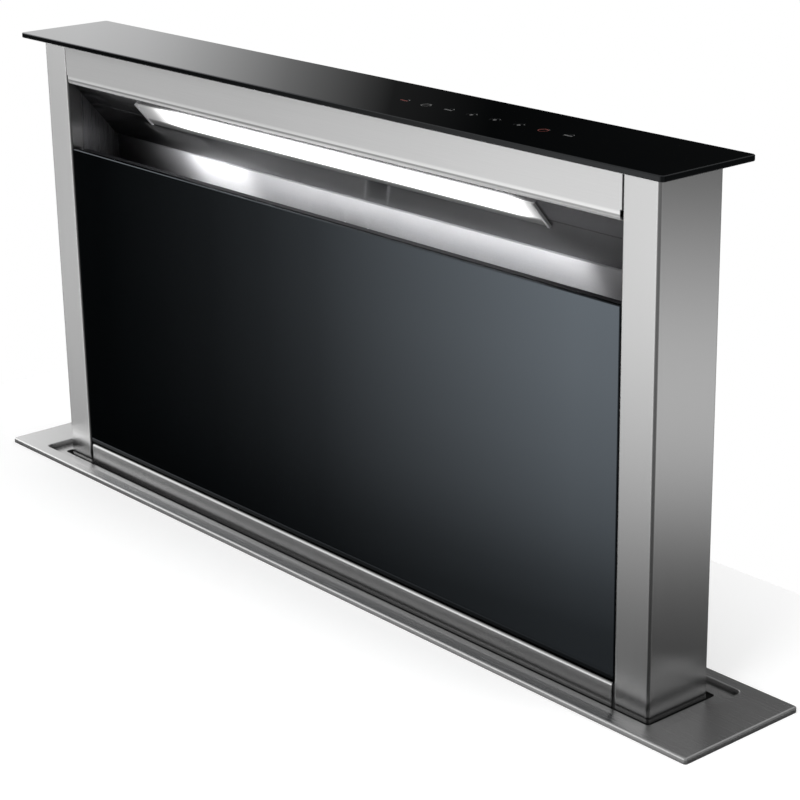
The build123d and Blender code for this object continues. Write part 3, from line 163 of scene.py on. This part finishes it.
def material(name):
    """A new material and its tree, with an output and a Principled shader."""
    made = bpy.data.materials.new(name)
    made.use_nodes = True
    tree = made.node_tree
    tree.nodes.clear()
    output = add(tree, "OutputMaterial")
    shader = add(tree, "BsdfPrincipled")
    tree.links.new(shader.outputs[0], output.inputs["Surface"])
    return made, tree, shader


def dress(shader, tree, **values):
    """Sets the shader's inputs by name, with _ for a space."""
    for name, value in values.items():
        feed(tree, shader.inputs[name.replace("_", " ")], value)


def rounded(tree, radius):
    """A normal that softens sharp edges."""
    return add(tree, "Bevel", {"Radius": radius}, samples=BEVEL_SAMPLES).outputs[0]


def relief(tree, height, depth, strength, edge=0.0):
    """A bump normal, on top of softly rounded edges when edge is a radius."""
    inputs = {"Height": height, "Distance": depth, "Strength": strength}
    if edge:
        inputs["Normal"] = rounded(tree, edge)
    return add(tree, "Bump", inputs).outputs[0]


# ---- metals ----
STEEL = grey(0.70)
GRAIN_FINE = 5200.0  # scales of the two noises across the grain
GRAIN_COARSE = 1300.0
GRAIN_LONG = 16.0  # and of both along it
FINE_SHARE = 0.65
STREAK_TONE = (0.96, 1.02)
CLOUD_TONE = (0.98, 1.01)
ACROSS_GRAIN = 0.25  # of a turn, from the tangent along the grain to where the light spreads
# painted shade on faces turned right and on bends
RIGHT_TURN = (0.6, 0.95)  # X part of the normal at which a face starts to count as turned right, and fully
BEND_TURN = (0.995, 0.93)  # larger level part of the normal at which a bend starts, and its full effect
LIP_STEEL = grey(0.72)
# a sheet's satin lower part, and painted shade on the part above it
SATIN_MORE = 0.24  # roughness that a sheet's satin lower part has on top
UPPER_PAINTED_SHADE = 0.68  # how much darker the part above that is


def grain_scale(axis, across):
    return tuple(GRAIN_LONG if letter == axis else across for letter in "XYZ")


def brushed_steel(
    name, axis, colour=STEEL, rough=(0.30, 0.34), depth=0.000004, spread=0.93, levels=(), right_faces=1.0,
    bend=0.0, pale_above=None, satin_below=None, hollow=0.0, hollow_range=(0.40, 0.85, 0.10),
):
    """Satin steel sheet whose grain runs along one axis and spreads the light across it.

    levels paints light and shade onto it by height, right_faces is the painted-shade brightness of faces
    turned to +X, and bend is how much bends are darkened with painted shade. pale_above and satin_below are
    heights: above pale_above it takes a plain steel grey, and above satin_below it takes painted shade.
    hollow is the distance within which walls darken it with painted shade; hollow_range is the openness
    where it is darkest, where it is plain, and that darkest.
    """
    made, tree, shader = material(name)
    fine = noise(tree, grain_scale(axis, GRAIN_FINE))
    coarse = noise(tree, grain_scale(axis, GRAIN_COARSE), seed=(3, 5, 7))
    cloud = noise(tree, scale=5, seed=(9, 1, 4))
    streak = blended(tree, fine, coarse, FINE_SHARE)
    tone = calc(tree, "MULTIPLY", graded(tree, streak, *STREAK_TONE), graded(tree, cloud, *CLOUD_TONE))
    shade = mix_colour(tree, 1.0, colour, grey_from(tree, tone), "MULTIPLY")
    roughness = graded(tree, streak, *rough)
    height = coordinate(tree, "Object", "Z")
    if levels:
        shade = mix_colour(tree, 1.0, shade, ramp(tree, height, levels), "MULTIPLY")
    if right_faces < 1:
        right = coordinate(tree, "Normal", "X")
        shade = darkened(tree, shade, remap(tree, right, *RIGHT_TURN, 0.0, 1 - right_faces))
    if bend:
        normal = add(tree, "TexCoord").outputs["Normal"]
        sides = add(tree, "VectorMath", {0: normal}, operation="ABSOLUTE").outputs[0]
        sides = add(tree, "SeparateXYZ", {0: sides}).outputs
        level_part = calc(tree, "MAXIMUM", sides["X"], sides["Y"])
        shade = darkened(tree, shade, remap(tree, level_part, *BEND_TURN, 0.0, bend, smooth=True))
    if pale_above is not None:
        shade = mix_colour(tree, calc(tree, "GREATER_THAN", height, pale_above), shade, LIP_STEEL)
    if satin_below is not None:
        below = calc(tree, "LESS_THAN", height, satin_below)
        above = calc(tree, "SUBTRACT", 1.0, below)
        roughness = calc(tree, "ADD", roughness, calc(tree, "MULTIPLY", below, SATIN_MORE))
        shade = darkened(tree, shade, calc(tree, "MULTIPLY", above, UPPER_PAINTED_SHADE))
    if hollow:
        open_part = add(tree, "AmbientOcclusion", {"Distance": hollow}, samples=HOLLOW_SAMPLES).outputs["AO"]
        closed, clear, darkest = hollow_range
        shade = mix_colour(tree, remap(tree, open_part, closed, clear, darkest, 1.0), grey(0.0), shade)
    along = add(tree, "CombineXYZ", {letter: float(letter == axis) for letter in "XYZ"}).outputs[0]
    bump = relief(tree, streak, depth, strength=0.5, edge=0.0006)
    dress(shader, tree, Metallic=1.0, Base_Color=shade, Roughness=roughness, Normal=bump)
    dress(shader, tree, Anisotropic=spread, Anisotropic_Rotation=ACROSS_GRAIN, Tangent=along)
    return made


CRYSTAL_DARK = (0.53, 0.54, 0.56, 1)
CRYSTAL_LIGHT = (0.60, 0.61, 0.62, 1)
CRYSTAL_ROUGH = (0.44, 0.32)  # of the dark ones and of the light ones
CRYSTAL_WARP = 0.012


def spangled(name):
    """Galvanised sheet with its crystal pattern."""
    made, tree, shader = material(name)
    place = add(tree, "TexCoord").outputs["Object"]
    warp = add(tree, "TexNoise", {"Vector": place, "Scale": 160.0, "Detail": 2.0}).outputs["Color"]
    bent = mix_colour(tree, CRYSTAL_WARP, place, warp, "LINEAR_LIGHT")
    crystals = add(tree, "TexVoronoi", {"Vector": bent, "Scale": 130.0, "Randomness": 1.0})
    tone = add(tree, "SeparateColor", {0: crystals.outputs["Color"]}).outputs[0]
    shade = mix_colour(tree, tone, CRYSTAL_DARK, CRYSTAL_LIGHT)
    roughness = remap(tree, tone, 0.0, 1.0, *CRYSTAL_ROUGH)
    bump = relief(tree, tone, depth=0.00001, strength=0.4, edge=0.0005)
    dress(shader, tree, Metallic=1.0, Base_Color=shade, Roughness=roughness, Normal=bump)
    return made


def grained(name, colour, rough, metallic=0.0, size=900.0, depth=0.00004, spread=0.08, shine=0.5):
    """A surface with an even fine grain: cast metal, moulded plastic, rubber or paint."""
    made, tree, shader = material(name)
    grain = noise(tree, size, detail=4.0)
    cloud = noise(tree, scale=14, detail=3.0, seed=(2, 8, 5))
    tone = blended(tree, grain, cloud, share=0.5)
    low, high = scaled(colour, 1 - spread), scaled(colour, 1 + spread)
    shade = mix_colour(tree, graded(tree, tone, span=NOISE_CORE), low, high)
    roughness = graded(tree, tone, *rough, span=NOISE_CORE)
    bump = relief(tree, grain, depth, strength=0.6, edge=0.0005)
    dress(shader, tree, Metallic=metallic, Base_Color=shade, Roughness=roughness, Normal=bump)
    dress(shader, tree, Specular_IOR_Level=shine)
    return made


TURNED_ROUGH = (0.14, 0.26)
TURNED_DARKER = 0.93


def turned(name, colour=(0.70, 0.70, 0.71, 1)):
    """Ground bright steel with faint marks."""
    made, tree, shader = material(name)
    marks = noise(tree, scale=1400, detail=1.0)
    cloud = noise(tree, scale=40, seed=(1, 2, 3))
    roughness = graded(tree, blended(tree, marks, cloud, share=0.4), *TURNED_ROUGH, span=NOISE_CORE)
    shade = mix_colour(tree, graded(tree, cloud, span=NOISE_CORE), scaled(colour, TURNED_DARKER), colour)
    bump = relief(tree, marks, depth=0.000006, strength=0.4, edge=0.0004)
    dress(shader, tree, Metallic=1.0, Base_Color=shade, Roughness=roughness, Normal=bump)
    return made


# ---- glass, light and small parts ----
GLASS_DARK = (0.0006, 0.0009, 0.0011, 1)
GLASS_LIGHT = (0.0010, 0.0014, 0.0016, 1)
GLASS_ROUGH = 0.018
GLASS_HAZE = (0.7, 1.4)  # what its roughness is multiplied by, from place to place
GLASS_GLOSS = 0.5
FACE_TURN = (0.5, 0.8)  # the normal's part along face: an edge's gloss up to the first, full from the second
RIM_GLOSS = 0.12  # share of the gloss in a dull rim
RIM_FADE = 0.004  # height over which that ends


def black_glass(name, face, tint, edge=0.0003, edge_gloss=0.1, dull_below=None):
    """Back-painted black glass with a faint unevenness in its polish, and less gloss on its edges.

    face is the axis that it faces along, and dull_below the height of a dull rim.
    """
    made, tree, shader = material(name)
    haze = noise(tree, scale=9, detail=3.0)
    shade = mix_colour(tree, graded(tree, haze), GLASS_DARK, GLASS_LIGHT)
    roughness = graded(tree, haze, *(GLASS_ROUGH * factor for factor in GLASS_HAZE))
    facing = calc(tree, "ABSOLUTE", coordinate(tree, "Normal", face))
    gloss = remap(tree, facing, *FACE_TURN, edge_gloss, GLASS_GLOSS)
    if dull_below is not None:
        height = coordinate(tree, "Object", "Z")
        rim = remap(tree, height, dull_below, dull_below + RIM_FADE, RIM_GLOSS, 1.0, smooth=True)
        gloss = calc(tree, "MULTIPLY", gloss, rim)
    dress(shader, tree, Base_Color=shade, Roughness=roughness, IOR=1.75, Normal=rounded(tree, edge))
    dress(shader, tree, Specular_IOR_Level=gloss, Specular_Tint=tint)
    return made


MARK_STEPS = 7  # from the first touch mark to the eighth
MARK_RED = (0.13, 0.032, 0.028, 1)
MARK_PALE = (grey(0.07), grey(0.14))


def touch_marks(name):
    """Printed marks: pale, but the first and the seventh are a dull red; all of them glow faintly with painted
    light.
    """
    made, tree, shader = material(name)
    low, high = (corner.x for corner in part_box("touch_icons"))
    along = calc(tree, "SUBTRACT", coordinate(tree, "Object", "X"), low)
    step = calc(tree, "DIVIDE", along, (high - low) / MARK_STEPS)
    first = calc(tree, "LESS_THAN", step, 0.5)
    seventh = calc(tree, "COMPARE", step, 6.0)
    pale = mix_colour(tree, noise(tree, scale=2500), *MARK_PALE)
    shade = mix_colour(tree, calc(tree, "MAXIMUM", first, seventh), pale, MARK_RED)
    dress(shader, tree, Base_Color=shade, Roughness=0.35, Emission_Color=shade, Emission_Strength=0.12)
    return made


COVER_LIGHT = 8.0
COVER_LEFT = (0.075, 0.16)  # length of the dimmer left end, and the level at its tip
COVER_RIGHT = (0.030, 0.3)
COVER_FALL = 3.0  # the power that those levels and the grain are raised to
COVER_RIM = (0.0062, 6.0)  # height of the dimmer lower rim, and the power of its fall
COVER_COLOURS = (grey(0.12), grey(0.45))  # of that rim and of the rest


def lit_cover(name):
    """Opal light cover that dims towards its ends and its lower rim."""
    made, tree, shader = material(name)
    low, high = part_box("led_cover")
    x, z = (coordinate(tree, "Object", letter) for letter in "XZ")
    left = remap(tree, x, low.x, low.x + COVER_LEFT[0], COVER_LEFT[1], 1.0, smooth=True)
    right = remap(tree, x, high.x - COVER_RIGHT[0], high.x, 1.0, COVER_RIGHT[1], smooth=True)
    rim = calc(tree, "POWER", remap(tree, z, low.z, low.z + COVER_RIM[0]), COVER_RIM[1])
    level = calc(tree, "MULTIPLY", left, right)
    level = calc(tree, "MULTIPLY", level, graded(tree, noise(tree, scale=1800), low=0.97))
    level = calc(tree, "MULTIPLY", calc(tree, "POWER", level, COVER_FALL), rim)
    dress(shader, tree, Base_Color=mix_colour(tree, rim, *COVER_COLOURS), Roughness=0.4)
    dress(shader, tree, Emission_Color=grey_from(tree, level), Emission_Strength=COVER_LIGHT)
    return made


TRACK_PALER = 2.2


def circuit_board(name, colour=(0.02, 0.11, 0.055, 1)):
    """Lacquered board with paler tracks."""
    made, tree, shader = material(name)
    inputs = {"Vector": add(tree, "TexCoord").outputs["Object"], "Scale": 190.0, "Mortar Size": 0.012}
    tracks = add(tree, "TexBrick", inputs).outputs["Fac"]
    shade = mix_colour(tree, tracks, colour, scaled(colour, TRACK_PALER))
    bump = relief(tree, tracks, depth=0.00003, strength=0.5)
    dress(shader, tree, Base_Color=shade, Roughness=0.35, Normal=bump)
    return made


# ---- which pieces have which finish ----
# painted highlight and painted shade lines along the header's rolled edge: how bright its near-white steel is,
# by height above its lowest line
HEADER_EDGE_PAINTED_LIGHT = (
    (0.0, 0.25), (0.0009, 0.90), (0.0028, 0.90), (0.0036, 0.40), (0.0043, 0.40), (0.0050, 0.92), (0.0062, 0.92),
    (0.0078, 0.715), (0.0120, 0.715),
)
# the slope sheet's dark grey is painted shade, all but its lip, and so is the back sheet's darker upper part
HOOD_LIP = 0.0048  # height of the pale lip along the top of the slope
HOOD_REACH = 0.033  # how far the dark upper part of the back sheet goes down past the slope
SILL_RIM = 0.004  # how far the dull rim of the glass goes up past the sill
SPRING_STEEL = (0.50, 0.50, 0.51, 1)
# the slot's sheets: painted shade near walls
SLOT_SHEET = {"rough": (0.20, 0.24), "hollow": 0.05, "hollow_range": (0.15, 0.60, 0.10)}
# posts: painted shade on their bends and near walls
POST_SHEET = {
    "rough": (0.24, 0.27), "spread": 0.97, "bend": 0.6, "hollow": 0.015, "hollow_range": (0.3, 0.7, 0.3),
}

FINISHES = {
    # one brushed steel in different greys, as painted light and shade: paler on the left post, darker on the
    # right post and the tower's back; the left post's faces turned to +X, toward the slot, get painted shade as
    # well
    "post_right tower_back": brushed_steel("brushed steel upright", "Z", grey(0.64), **POST_SHEET),
    "post_left": brushed_steel("brushed steel, left post", "Z", grey(0.76), right_faces=0.22, **POST_SHEET),
    "top_plate": brushed_steel("brushed steel along X", "X"),
    "header": brushed_steel(
        "brushed steel, header", "X", grey(0.97),
        levels=[(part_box("header")[0].z + rise, level) for rise, level in HEADER_EDGE_PAINTED_LIGHT],
    ),
    # painted shade near walls on the flange and the sill, whose darker grey is painted shade as well
    "flange": brushed_steel(
        "brushed steel at the worktop", "X", rough=(0.24, 0.28), depth=0.000001, hollow=0.012
    ),
    "sill": brushed_steel(
        "brushed steel, sill", "X", grey(0.60), rough=(0.17, 0.20), depth=0.0000006, hollow=0.012
    ),
    # the slope, back and cheek sheets are brushed steel given dark greys as painted shade in the slot
    "inlet_hood": brushed_steel(
        "slope sheet", "X", (0.12, 0.12, 0.125, 1),
        pale_above=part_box("inlet_hood")[1].z - HOOD_LIP, **SLOT_SHEET,
    ),
    "duct_back": brushed_steel(
        "back sheet of the slot", "X", (0.36, 0.36, 0.37, 1),
        satin_below=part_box("inlet_hood")[0].z - HOOD_REACH, **SLOT_SHEET,
    ),
    "duct_cheeks": brushed_steel(
        "cheek sheet", "Z", (0.17, 0.17, 0.175, 1), (0.26, 0.30), hollow=0.05, hollow_range=(0.25, 0.75, 0.10)
    ),
    "filter_frames": brushed_steel("filter frame aluminium", "X", (0.72, 0.72, 0.73, 1), (0.42, 0.5)),
    "cap_glass": black_glass("black glass, cap", "Z", (0.92, 0.96, 1.0, 1), edge=0.0008),
    "front_glass": black_glass(
        "black glass, front", "Y", (0.72, 0.86, 1.0, 1), edge_gloss=0.12,
        dull_below=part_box("sill")[1].z + SILL_RIM,
    ),
    "touch_icons": touch_marks("touch marks"),
    "led_cover": lit_cover("lit opal cover"),
    "led_board": circuit_board("light circuit board", (0.55, 0.55, 0.53, 1)),
    "control_board": circuit_board("control circuit board"),
    "chassis_front chassis_back chassis_ends chassis_floor blower_case blower_cover scroll outlet_collar "
    "filter_ledges control_box control_cover": spangled("galvanised sheet"),
    "tower_back_screws case_rivets guide_rods idler_axles drive_shaft flap_pin": turned("ground steel"),
    "carrier_clips": turned("spring clips", SPRING_STEEL),
    "flap_springs": turned("spring wire", SPRING_STEEL),
    "carriage_frame slider_brackets belt_clamps rod_holders idler_pulleys drive_pulleys bearing_blocks "
    "lift_gearbox": grained("cast alloy", (0.52, 0.52, 0.53), (0.34, 0.50), metallic=1.0, depth=0.0001),
    "filter_meshes": grained("filter mesh", (0.62, 0.62, 0.63), (0.30, 0.45), metallic=1.0, size=2200),
    "worktop_clamps cabinet_brackets": grained(
        "zinc plate", (0.62, 0.63, 0.64), (0.28, 0.4), metallic=1.0, size=1200
    ),
    "led_housing": grained("anodised aluminium", (0.66, 0.66, 0.67), (0.35, 0.45), metallic=0.5, size=1500),
    # the glass carrier is given near-black as painted shade, for the shadow gap behind the glass's top edge
    "glass_carrier": grained("glass carrier, dark as painted shade", (0.02, 0.02, 0.022), (0.6, 0.75), size=1500, shine=0.1),
    "lift_motor fan_motor": grained("dark paint", (0.045, 0.045, 0.05), (0.30, 0.42), size=1500),
    "touch_module impeller cable_gland": grained("black plastic", (0.035, 0.035, 0.037), (0.38, 0.55)),
    "flap_front flap_rear": grained("grey plastic", (0.40, 0.41, 0.42), (0.4, 0.55)),
    "guide_bushes": grained("white polymer", (0.78, 0.78, 0.75), (0.35, 0.5), spread=0.03),
    "bonding_tapes": grained("bonding tape", (0.03, 0.03, 0.03), (0.6, 0.8), size=600),
    # black rubber, made darker still as painted shade in the gap at the tower's foot
    "wiper_seal": grained("seal rubber", (0.004, 0.004, 0.004), (0.75, 0.9), size=700, shine=0.1),
    "drive_belts": grained("belt rubber", (0.03, 0.03, 0.03), (0.55, 0.7), size=500, depth=0.0002),
}
finish_of = {name: finish for names, finish in FINISHES.items() for name in names.split()}
for name, node in nodes.items():
    node.data.materials.clear()
    node.data.materials.append(finish_of[name])
    # the worktop has no mirror image of its own, so what hangs under it must not be mirrored through it
    node.visible_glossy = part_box(name)[1].z > 0


# ---- worktop ----
WORKTOP_COLOUR = grey(0.82)
WORKTOP_GLOW = 0.30  # light of its own that brings it up to white, where it isn't in shadow


def worktop_slab():
    """Pale worktop with the cut-out that the chassis hangs in."""
    low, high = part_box("chassis_ends")
    xs = (SLAB_X[0], low.x - CUTOUT_GAP, high.x + CUTOUT_GAP, SLAB_X[1])
    ys = (SLAB_Y[0], low.y - CUTOUT_GAP, high.y + CUTOUT_GAP, SLAB_Y[1])
    mesh = bmesh.new()
    grid = [[mesh.verts.new((x, y, -SLAB_THICKNESS)) for y in ys] for x in xs]
    for i in range(3):
        for j in range(3):
            if (i, j) != (1, 1):
                mesh.faces.new((grid[i][j], grid[i][j + 1], grid[i + 1][j + 1], grid[i + 1][j]))
    top = bmesh.ops.extrude_face_region(mesh, geom=mesh.faces[:])
    moved = [part for part in top["geom"] if isinstance(part, bmesh.types.BMVert)]
    bmesh.ops.translate(mesh, verts=moved, vec=(0, 0, SLAB_THICKNESS))
    bmesh.ops.recalc_face_normals(mesh, faces=mesh.faces[:])
    data = bpy.data.meshes.new("worktop")
    mesh.to_mesh(data)
    mesh.free()
    slab = bpy.data.objects.new("worktop", data)
    slab.visible_glossy = False
    scene.collection.objects.link(slab)
    return slab


def worktop_material():
    """White to the camera, except in shadow."""
    made, tree, shader = material("pale worktop")
    seen = any_ray(tree, "Is Camera Ray", "Is Transmission Ray", "Is Glossy Ray")
    glow = grey_from(tree, calc(tree, "MULTIPLY", seen, WORKTOP_GLOW))
    dress(shader, tree, Base_Color=WORKTOP_COLOUR, Roughness=0.6, Specular_IOR_Level=0.0)
    dress(shader, tree, Emission_Color=glow, Emission_Strength=1.0)
    return made


# ---- studio: brightness round the object, as gloss sees it ----
# in front and low, and in front and high, by heading in degrees from +X towards +Y
STUDIO_LOW = (
    (-180, 0.3), (-165, 0.01), (-147.2, 0.012), (-144.5, 0.10), (-142.4, 0.25), (-138.4, 1.02), (-134.6, 1.75),
    (-115, 1.35), (-95, 0.8), (-65, 0.40), (-25, 0.42), (5, 0.6), (40, 0.85), (180, 0.3),
)
STUDIO_HIGH = (
    (-180, 1.3), (-165, 1.6), (-140, 1.5), (-110, 0.9), (-90, 0.6), (-50, 0.45), (0, 0.5), (180, 0.5),
)
# what those two are multiplied by, by the direction's Z part: -1 is straight down
STUDIO_FLOOR = (
    (-1.0, 0.12), (-0.43, 0.12), (-0.408, 0.12), (-0.388, 0.24), (-0.36, 0.52), (-0.337, 0.70), (-0.30, 0.92),
    (-0.26, 1.05), (1.0, 1.05),
)
STUDIO_RISE = ((-1.0, 1.0), (0.12, 1.0), (0.35, 0.36), (0.60, 0.28), (1.0, 0.28))
# the floor close by, behind, and overhead, by the direction's X part
STUDIO_NEAR = ((-1.0, 1.3), (-0.75, 1.3), (-0.70, 0.6), (-0.62, 0.2), (-0.50, 0.3), (1.0, 0.5))
STUDIO_BACK = (
    (-1.0, 1.15), (-0.836, 1.15), (-0.817, 1.0), (-0.807, 0.79), (-0.793, 0.54), (-0.779, 0.29), (-0.752, 0.03),
    (-0.72, 0.004), (-0.45, 0.02), (-0.1, 0.35), (0.3, 0.5), (1.0, 0.5),
)
STUDIO_OVER = (
    (-1.0, 1.3), (-0.82, 1.2), (-0.77, 0.45), (-0.72, 0.44), (-0.68, 0.34), (-0.60, 0.38), (-0.45, 0.60),
    (-0.25, 0.45), (1.0, 0.40),
)
# behind on the right, by the direction's Z part
STUDIO_CORNER = (
    (-1.0, 0.2), (-0.50, 0.03), (-0.43, 0.03), (-0.405, 0.05), (-0.385, 0.20), (-0.36, 0.62), (-0.34, 0.78),
    (-0.31, 0.78), (-0.27, 0.52), (-0.23, 0.13), (-0.15, 0.10), (0.45, 0.15), (0.7, 0.4), (1.0, 0.5),
)
FLOOR_LEAN = 0.0045  # how much lower the floor's dark part lies for each degree of heading past LEAN_START
LEAN_START = -138
LEAN_LIMITS = (-0.04, 0.02)
# between which values one part of the studio passes into the next
NEAR_BEND = (-0.76, -0.70, 0.0, 0.11)  # X part, and how much lower the near floor starts
NEAR_JOIN = (-0.46, -0.52)  # Z part
HIGH_JOIN = (-0.19, 0.0)  # Z part
RISE_JOIN = (-0.81, -0.75)  # X part
BACK_JOIN = (-0.05, 0.05)  # Y part
CORNER_JOIN = (0.0, 0.3)  # smaller of the X and Y parts
OVER_JOIN = (0.45, 0.75)  # Z part
DIFFUSE_LIGHT = grey(0.45)


def studio_world():
    """White to the camera, even for diffuse light, and a soft studio round the object for gloss."""
    world = bpy.data.worlds.new("studio")
    world.use_nodes = True
    tree = world.node_tree
    tree.nodes.clear()
    way = add(tree, "SeparateXYZ", {0: add(tree, "TexCoord").outputs["Generated"]})
    x, y, z = (way.outputs[letter] for letter in "XYZ")
    heading = calc(tree, "DEGREES", calc(tree, "ARCTAN2", y, x))

    lean = calc(tree, "MULTIPLY", calc(tree, "ADD", heading, -LEAN_START), FLOOR_LEAN)
    lean = calc(tree, "MINIMUM", calc(tree, "MAXIMUM", lean, LEAN_LIMITS[0]), LEAN_LIMITS[1])
    fade = ramp(tree, calc(tree, "ADD", z, lean), STUDIO_FLOOR)
    floor = mix_colour(tree, 1.0, ramp(tree, heading, STUDIO_LOW), fade, "MULTIPLY")
    near = calc(tree, "ADD", z, remap(tree, x, *NEAR_BEND))
    floor = mix_colour(tree, remap(tree, near, *NEAR_JOIN, smooth=True), floor, ramp(tree, x, STUDIO_NEAR))

    rise = mix_colour(tree, remap(tree, x, *RISE_JOIN), grey(1.0), ramp(tree, z, STUDIO_RISE))
    above = mix_colour(tree, 1.0, ramp(tree, heading, STUDIO_HIGH), rise, "MULTIPLY")
    around = mix_colour(tree, remap(tree, z, *HIGH_JOIN, smooth=True), floor, above)
    around = mix_colour(tree, remap(tree, y, *BACK_JOIN), around, ramp(tree, x, STUDIO_BACK))
    corner = remap(tree, calc(tree, "MINIMUM", x, y), *CORNER_JOIN, smooth=True)
    around = mix_colour(tree, corner, around, ramp(tree, z, STUDIO_CORNER))
    around = mix_colour(tree, remap(tree, z, *OVER_JOIN, smooth=True), around, ramp(tree, x, STUDIO_OVER))

    colour = mix_colour(tree, any_ray(tree, "Is Glossy Ray"), DIFFUSE_LIGHT, around)
    seen = any_ray(tree, "Is Camera Ray", "Is Transmission Ray")
    colour = mix_colour(tree, seen, colour, grey(1.0))
    shade = add(tree, "Background", {"Color": colour, "Strength": 1.0})
    output = add(tree, "OutputWorld")
    tree.links.new(shade.outputs[0], output.inputs["Surface"])
    scene.world = world


# ---- lamps and camera ----
# name, place, target, size and watts
SOFTBOXES = (
    ("overhead", (0.2, -0.3, 2.4), (0.0, 0.0, 0.0), (2.2, 1.8), 26),
    ("front", (0.5, -2.4, 1.3), (0.0, 0.0, 0.1), (1.6, 1.2), 30),
    ("side", (2.3, 0.9, 1.0), (0.0, 0.0, 0.1), (1.2, 1.2), 14),
)
# the light bar's own light: name, middle, length and watts
THROWS = (("throw", 0.002, 0.464, 0.45), ("throw left", -0.23, 0.08, 0.24))
THROW_WIDTH = 0.008
THROW_SPREAD = 120  # degrees
THROW_INSET = 0.003  # from the cover's rear edge
THROW_DROP = 0.004  # below the cover
THROW_AIM = (0.020, 0.300)  # Y and Z of the target


def softbox(name, place, target, size, watts, mirrored=False):
    """A rectangular lamp that the camera doesn't see; gloss sees it only when it is mirrored."""
    light = bpy.data.lights.new(name, "AREA")
    light.shape = "RECTANGLE"
    light.size, light.size_y = size
    light.energy = watts
    lamp = bpy.data.objects.new(name, light)
    lamp.location = place
    lamp.rotation_euler = (Vector(target) - Vector(place)).to_track_quat("-Z", "Y").to_euler()
    lamp.visible_glossy = mirrored
    lamp.visible_camera = False
    scene.collection.objects.link(lamp)
    return lamp


def light_bar():
    """Narrow lamps under the light cover, which ride on the tower."""
    low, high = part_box("led_cover")
    for name, middle, length, watts in THROWS:
        place, target = (middle, high.y - THROW_INSET, low.z - THROW_DROP), (middle, *THROW_AIM)
        throw = softbox("light bar " + name, place, target, (length, THROW_WIDTH), watts, mirrored=True)
        throw.data.spread = radians(THROW_SPREAD)
        throw.parent = frame["bodies"]["tower"]


def photo_camera():
    """The camera that was solved from the photo."""
    data = bpy.data.cameras.new("camera")
    data.sensor_width = CAMERA_SENSOR
    data.lens = CAMERA_LENS
    camera = bpy.data.objects.new("camera", data)
    heading, tilt, roll = (radians(angle) for angle in CAMERA_TURN)
    level = Euler((radians(90) - tilt, 0, heading)).to_matrix().to_4x4()
    camera.matrix_world = Matrix.Translation(CAMERA_PLACE) @ level @ Matrix.Rotation(roll, 4, "Z")
    scene.collection.objects.link(camera)
    scene.camera = camera


worktop_slab().data.materials.append(worktop_material())
studio_world()
for settings in SOFTBOXES:
    softbox(*settings)
light_bar()
photo_camera()
scene.view_settings.view_transform = "Standard"
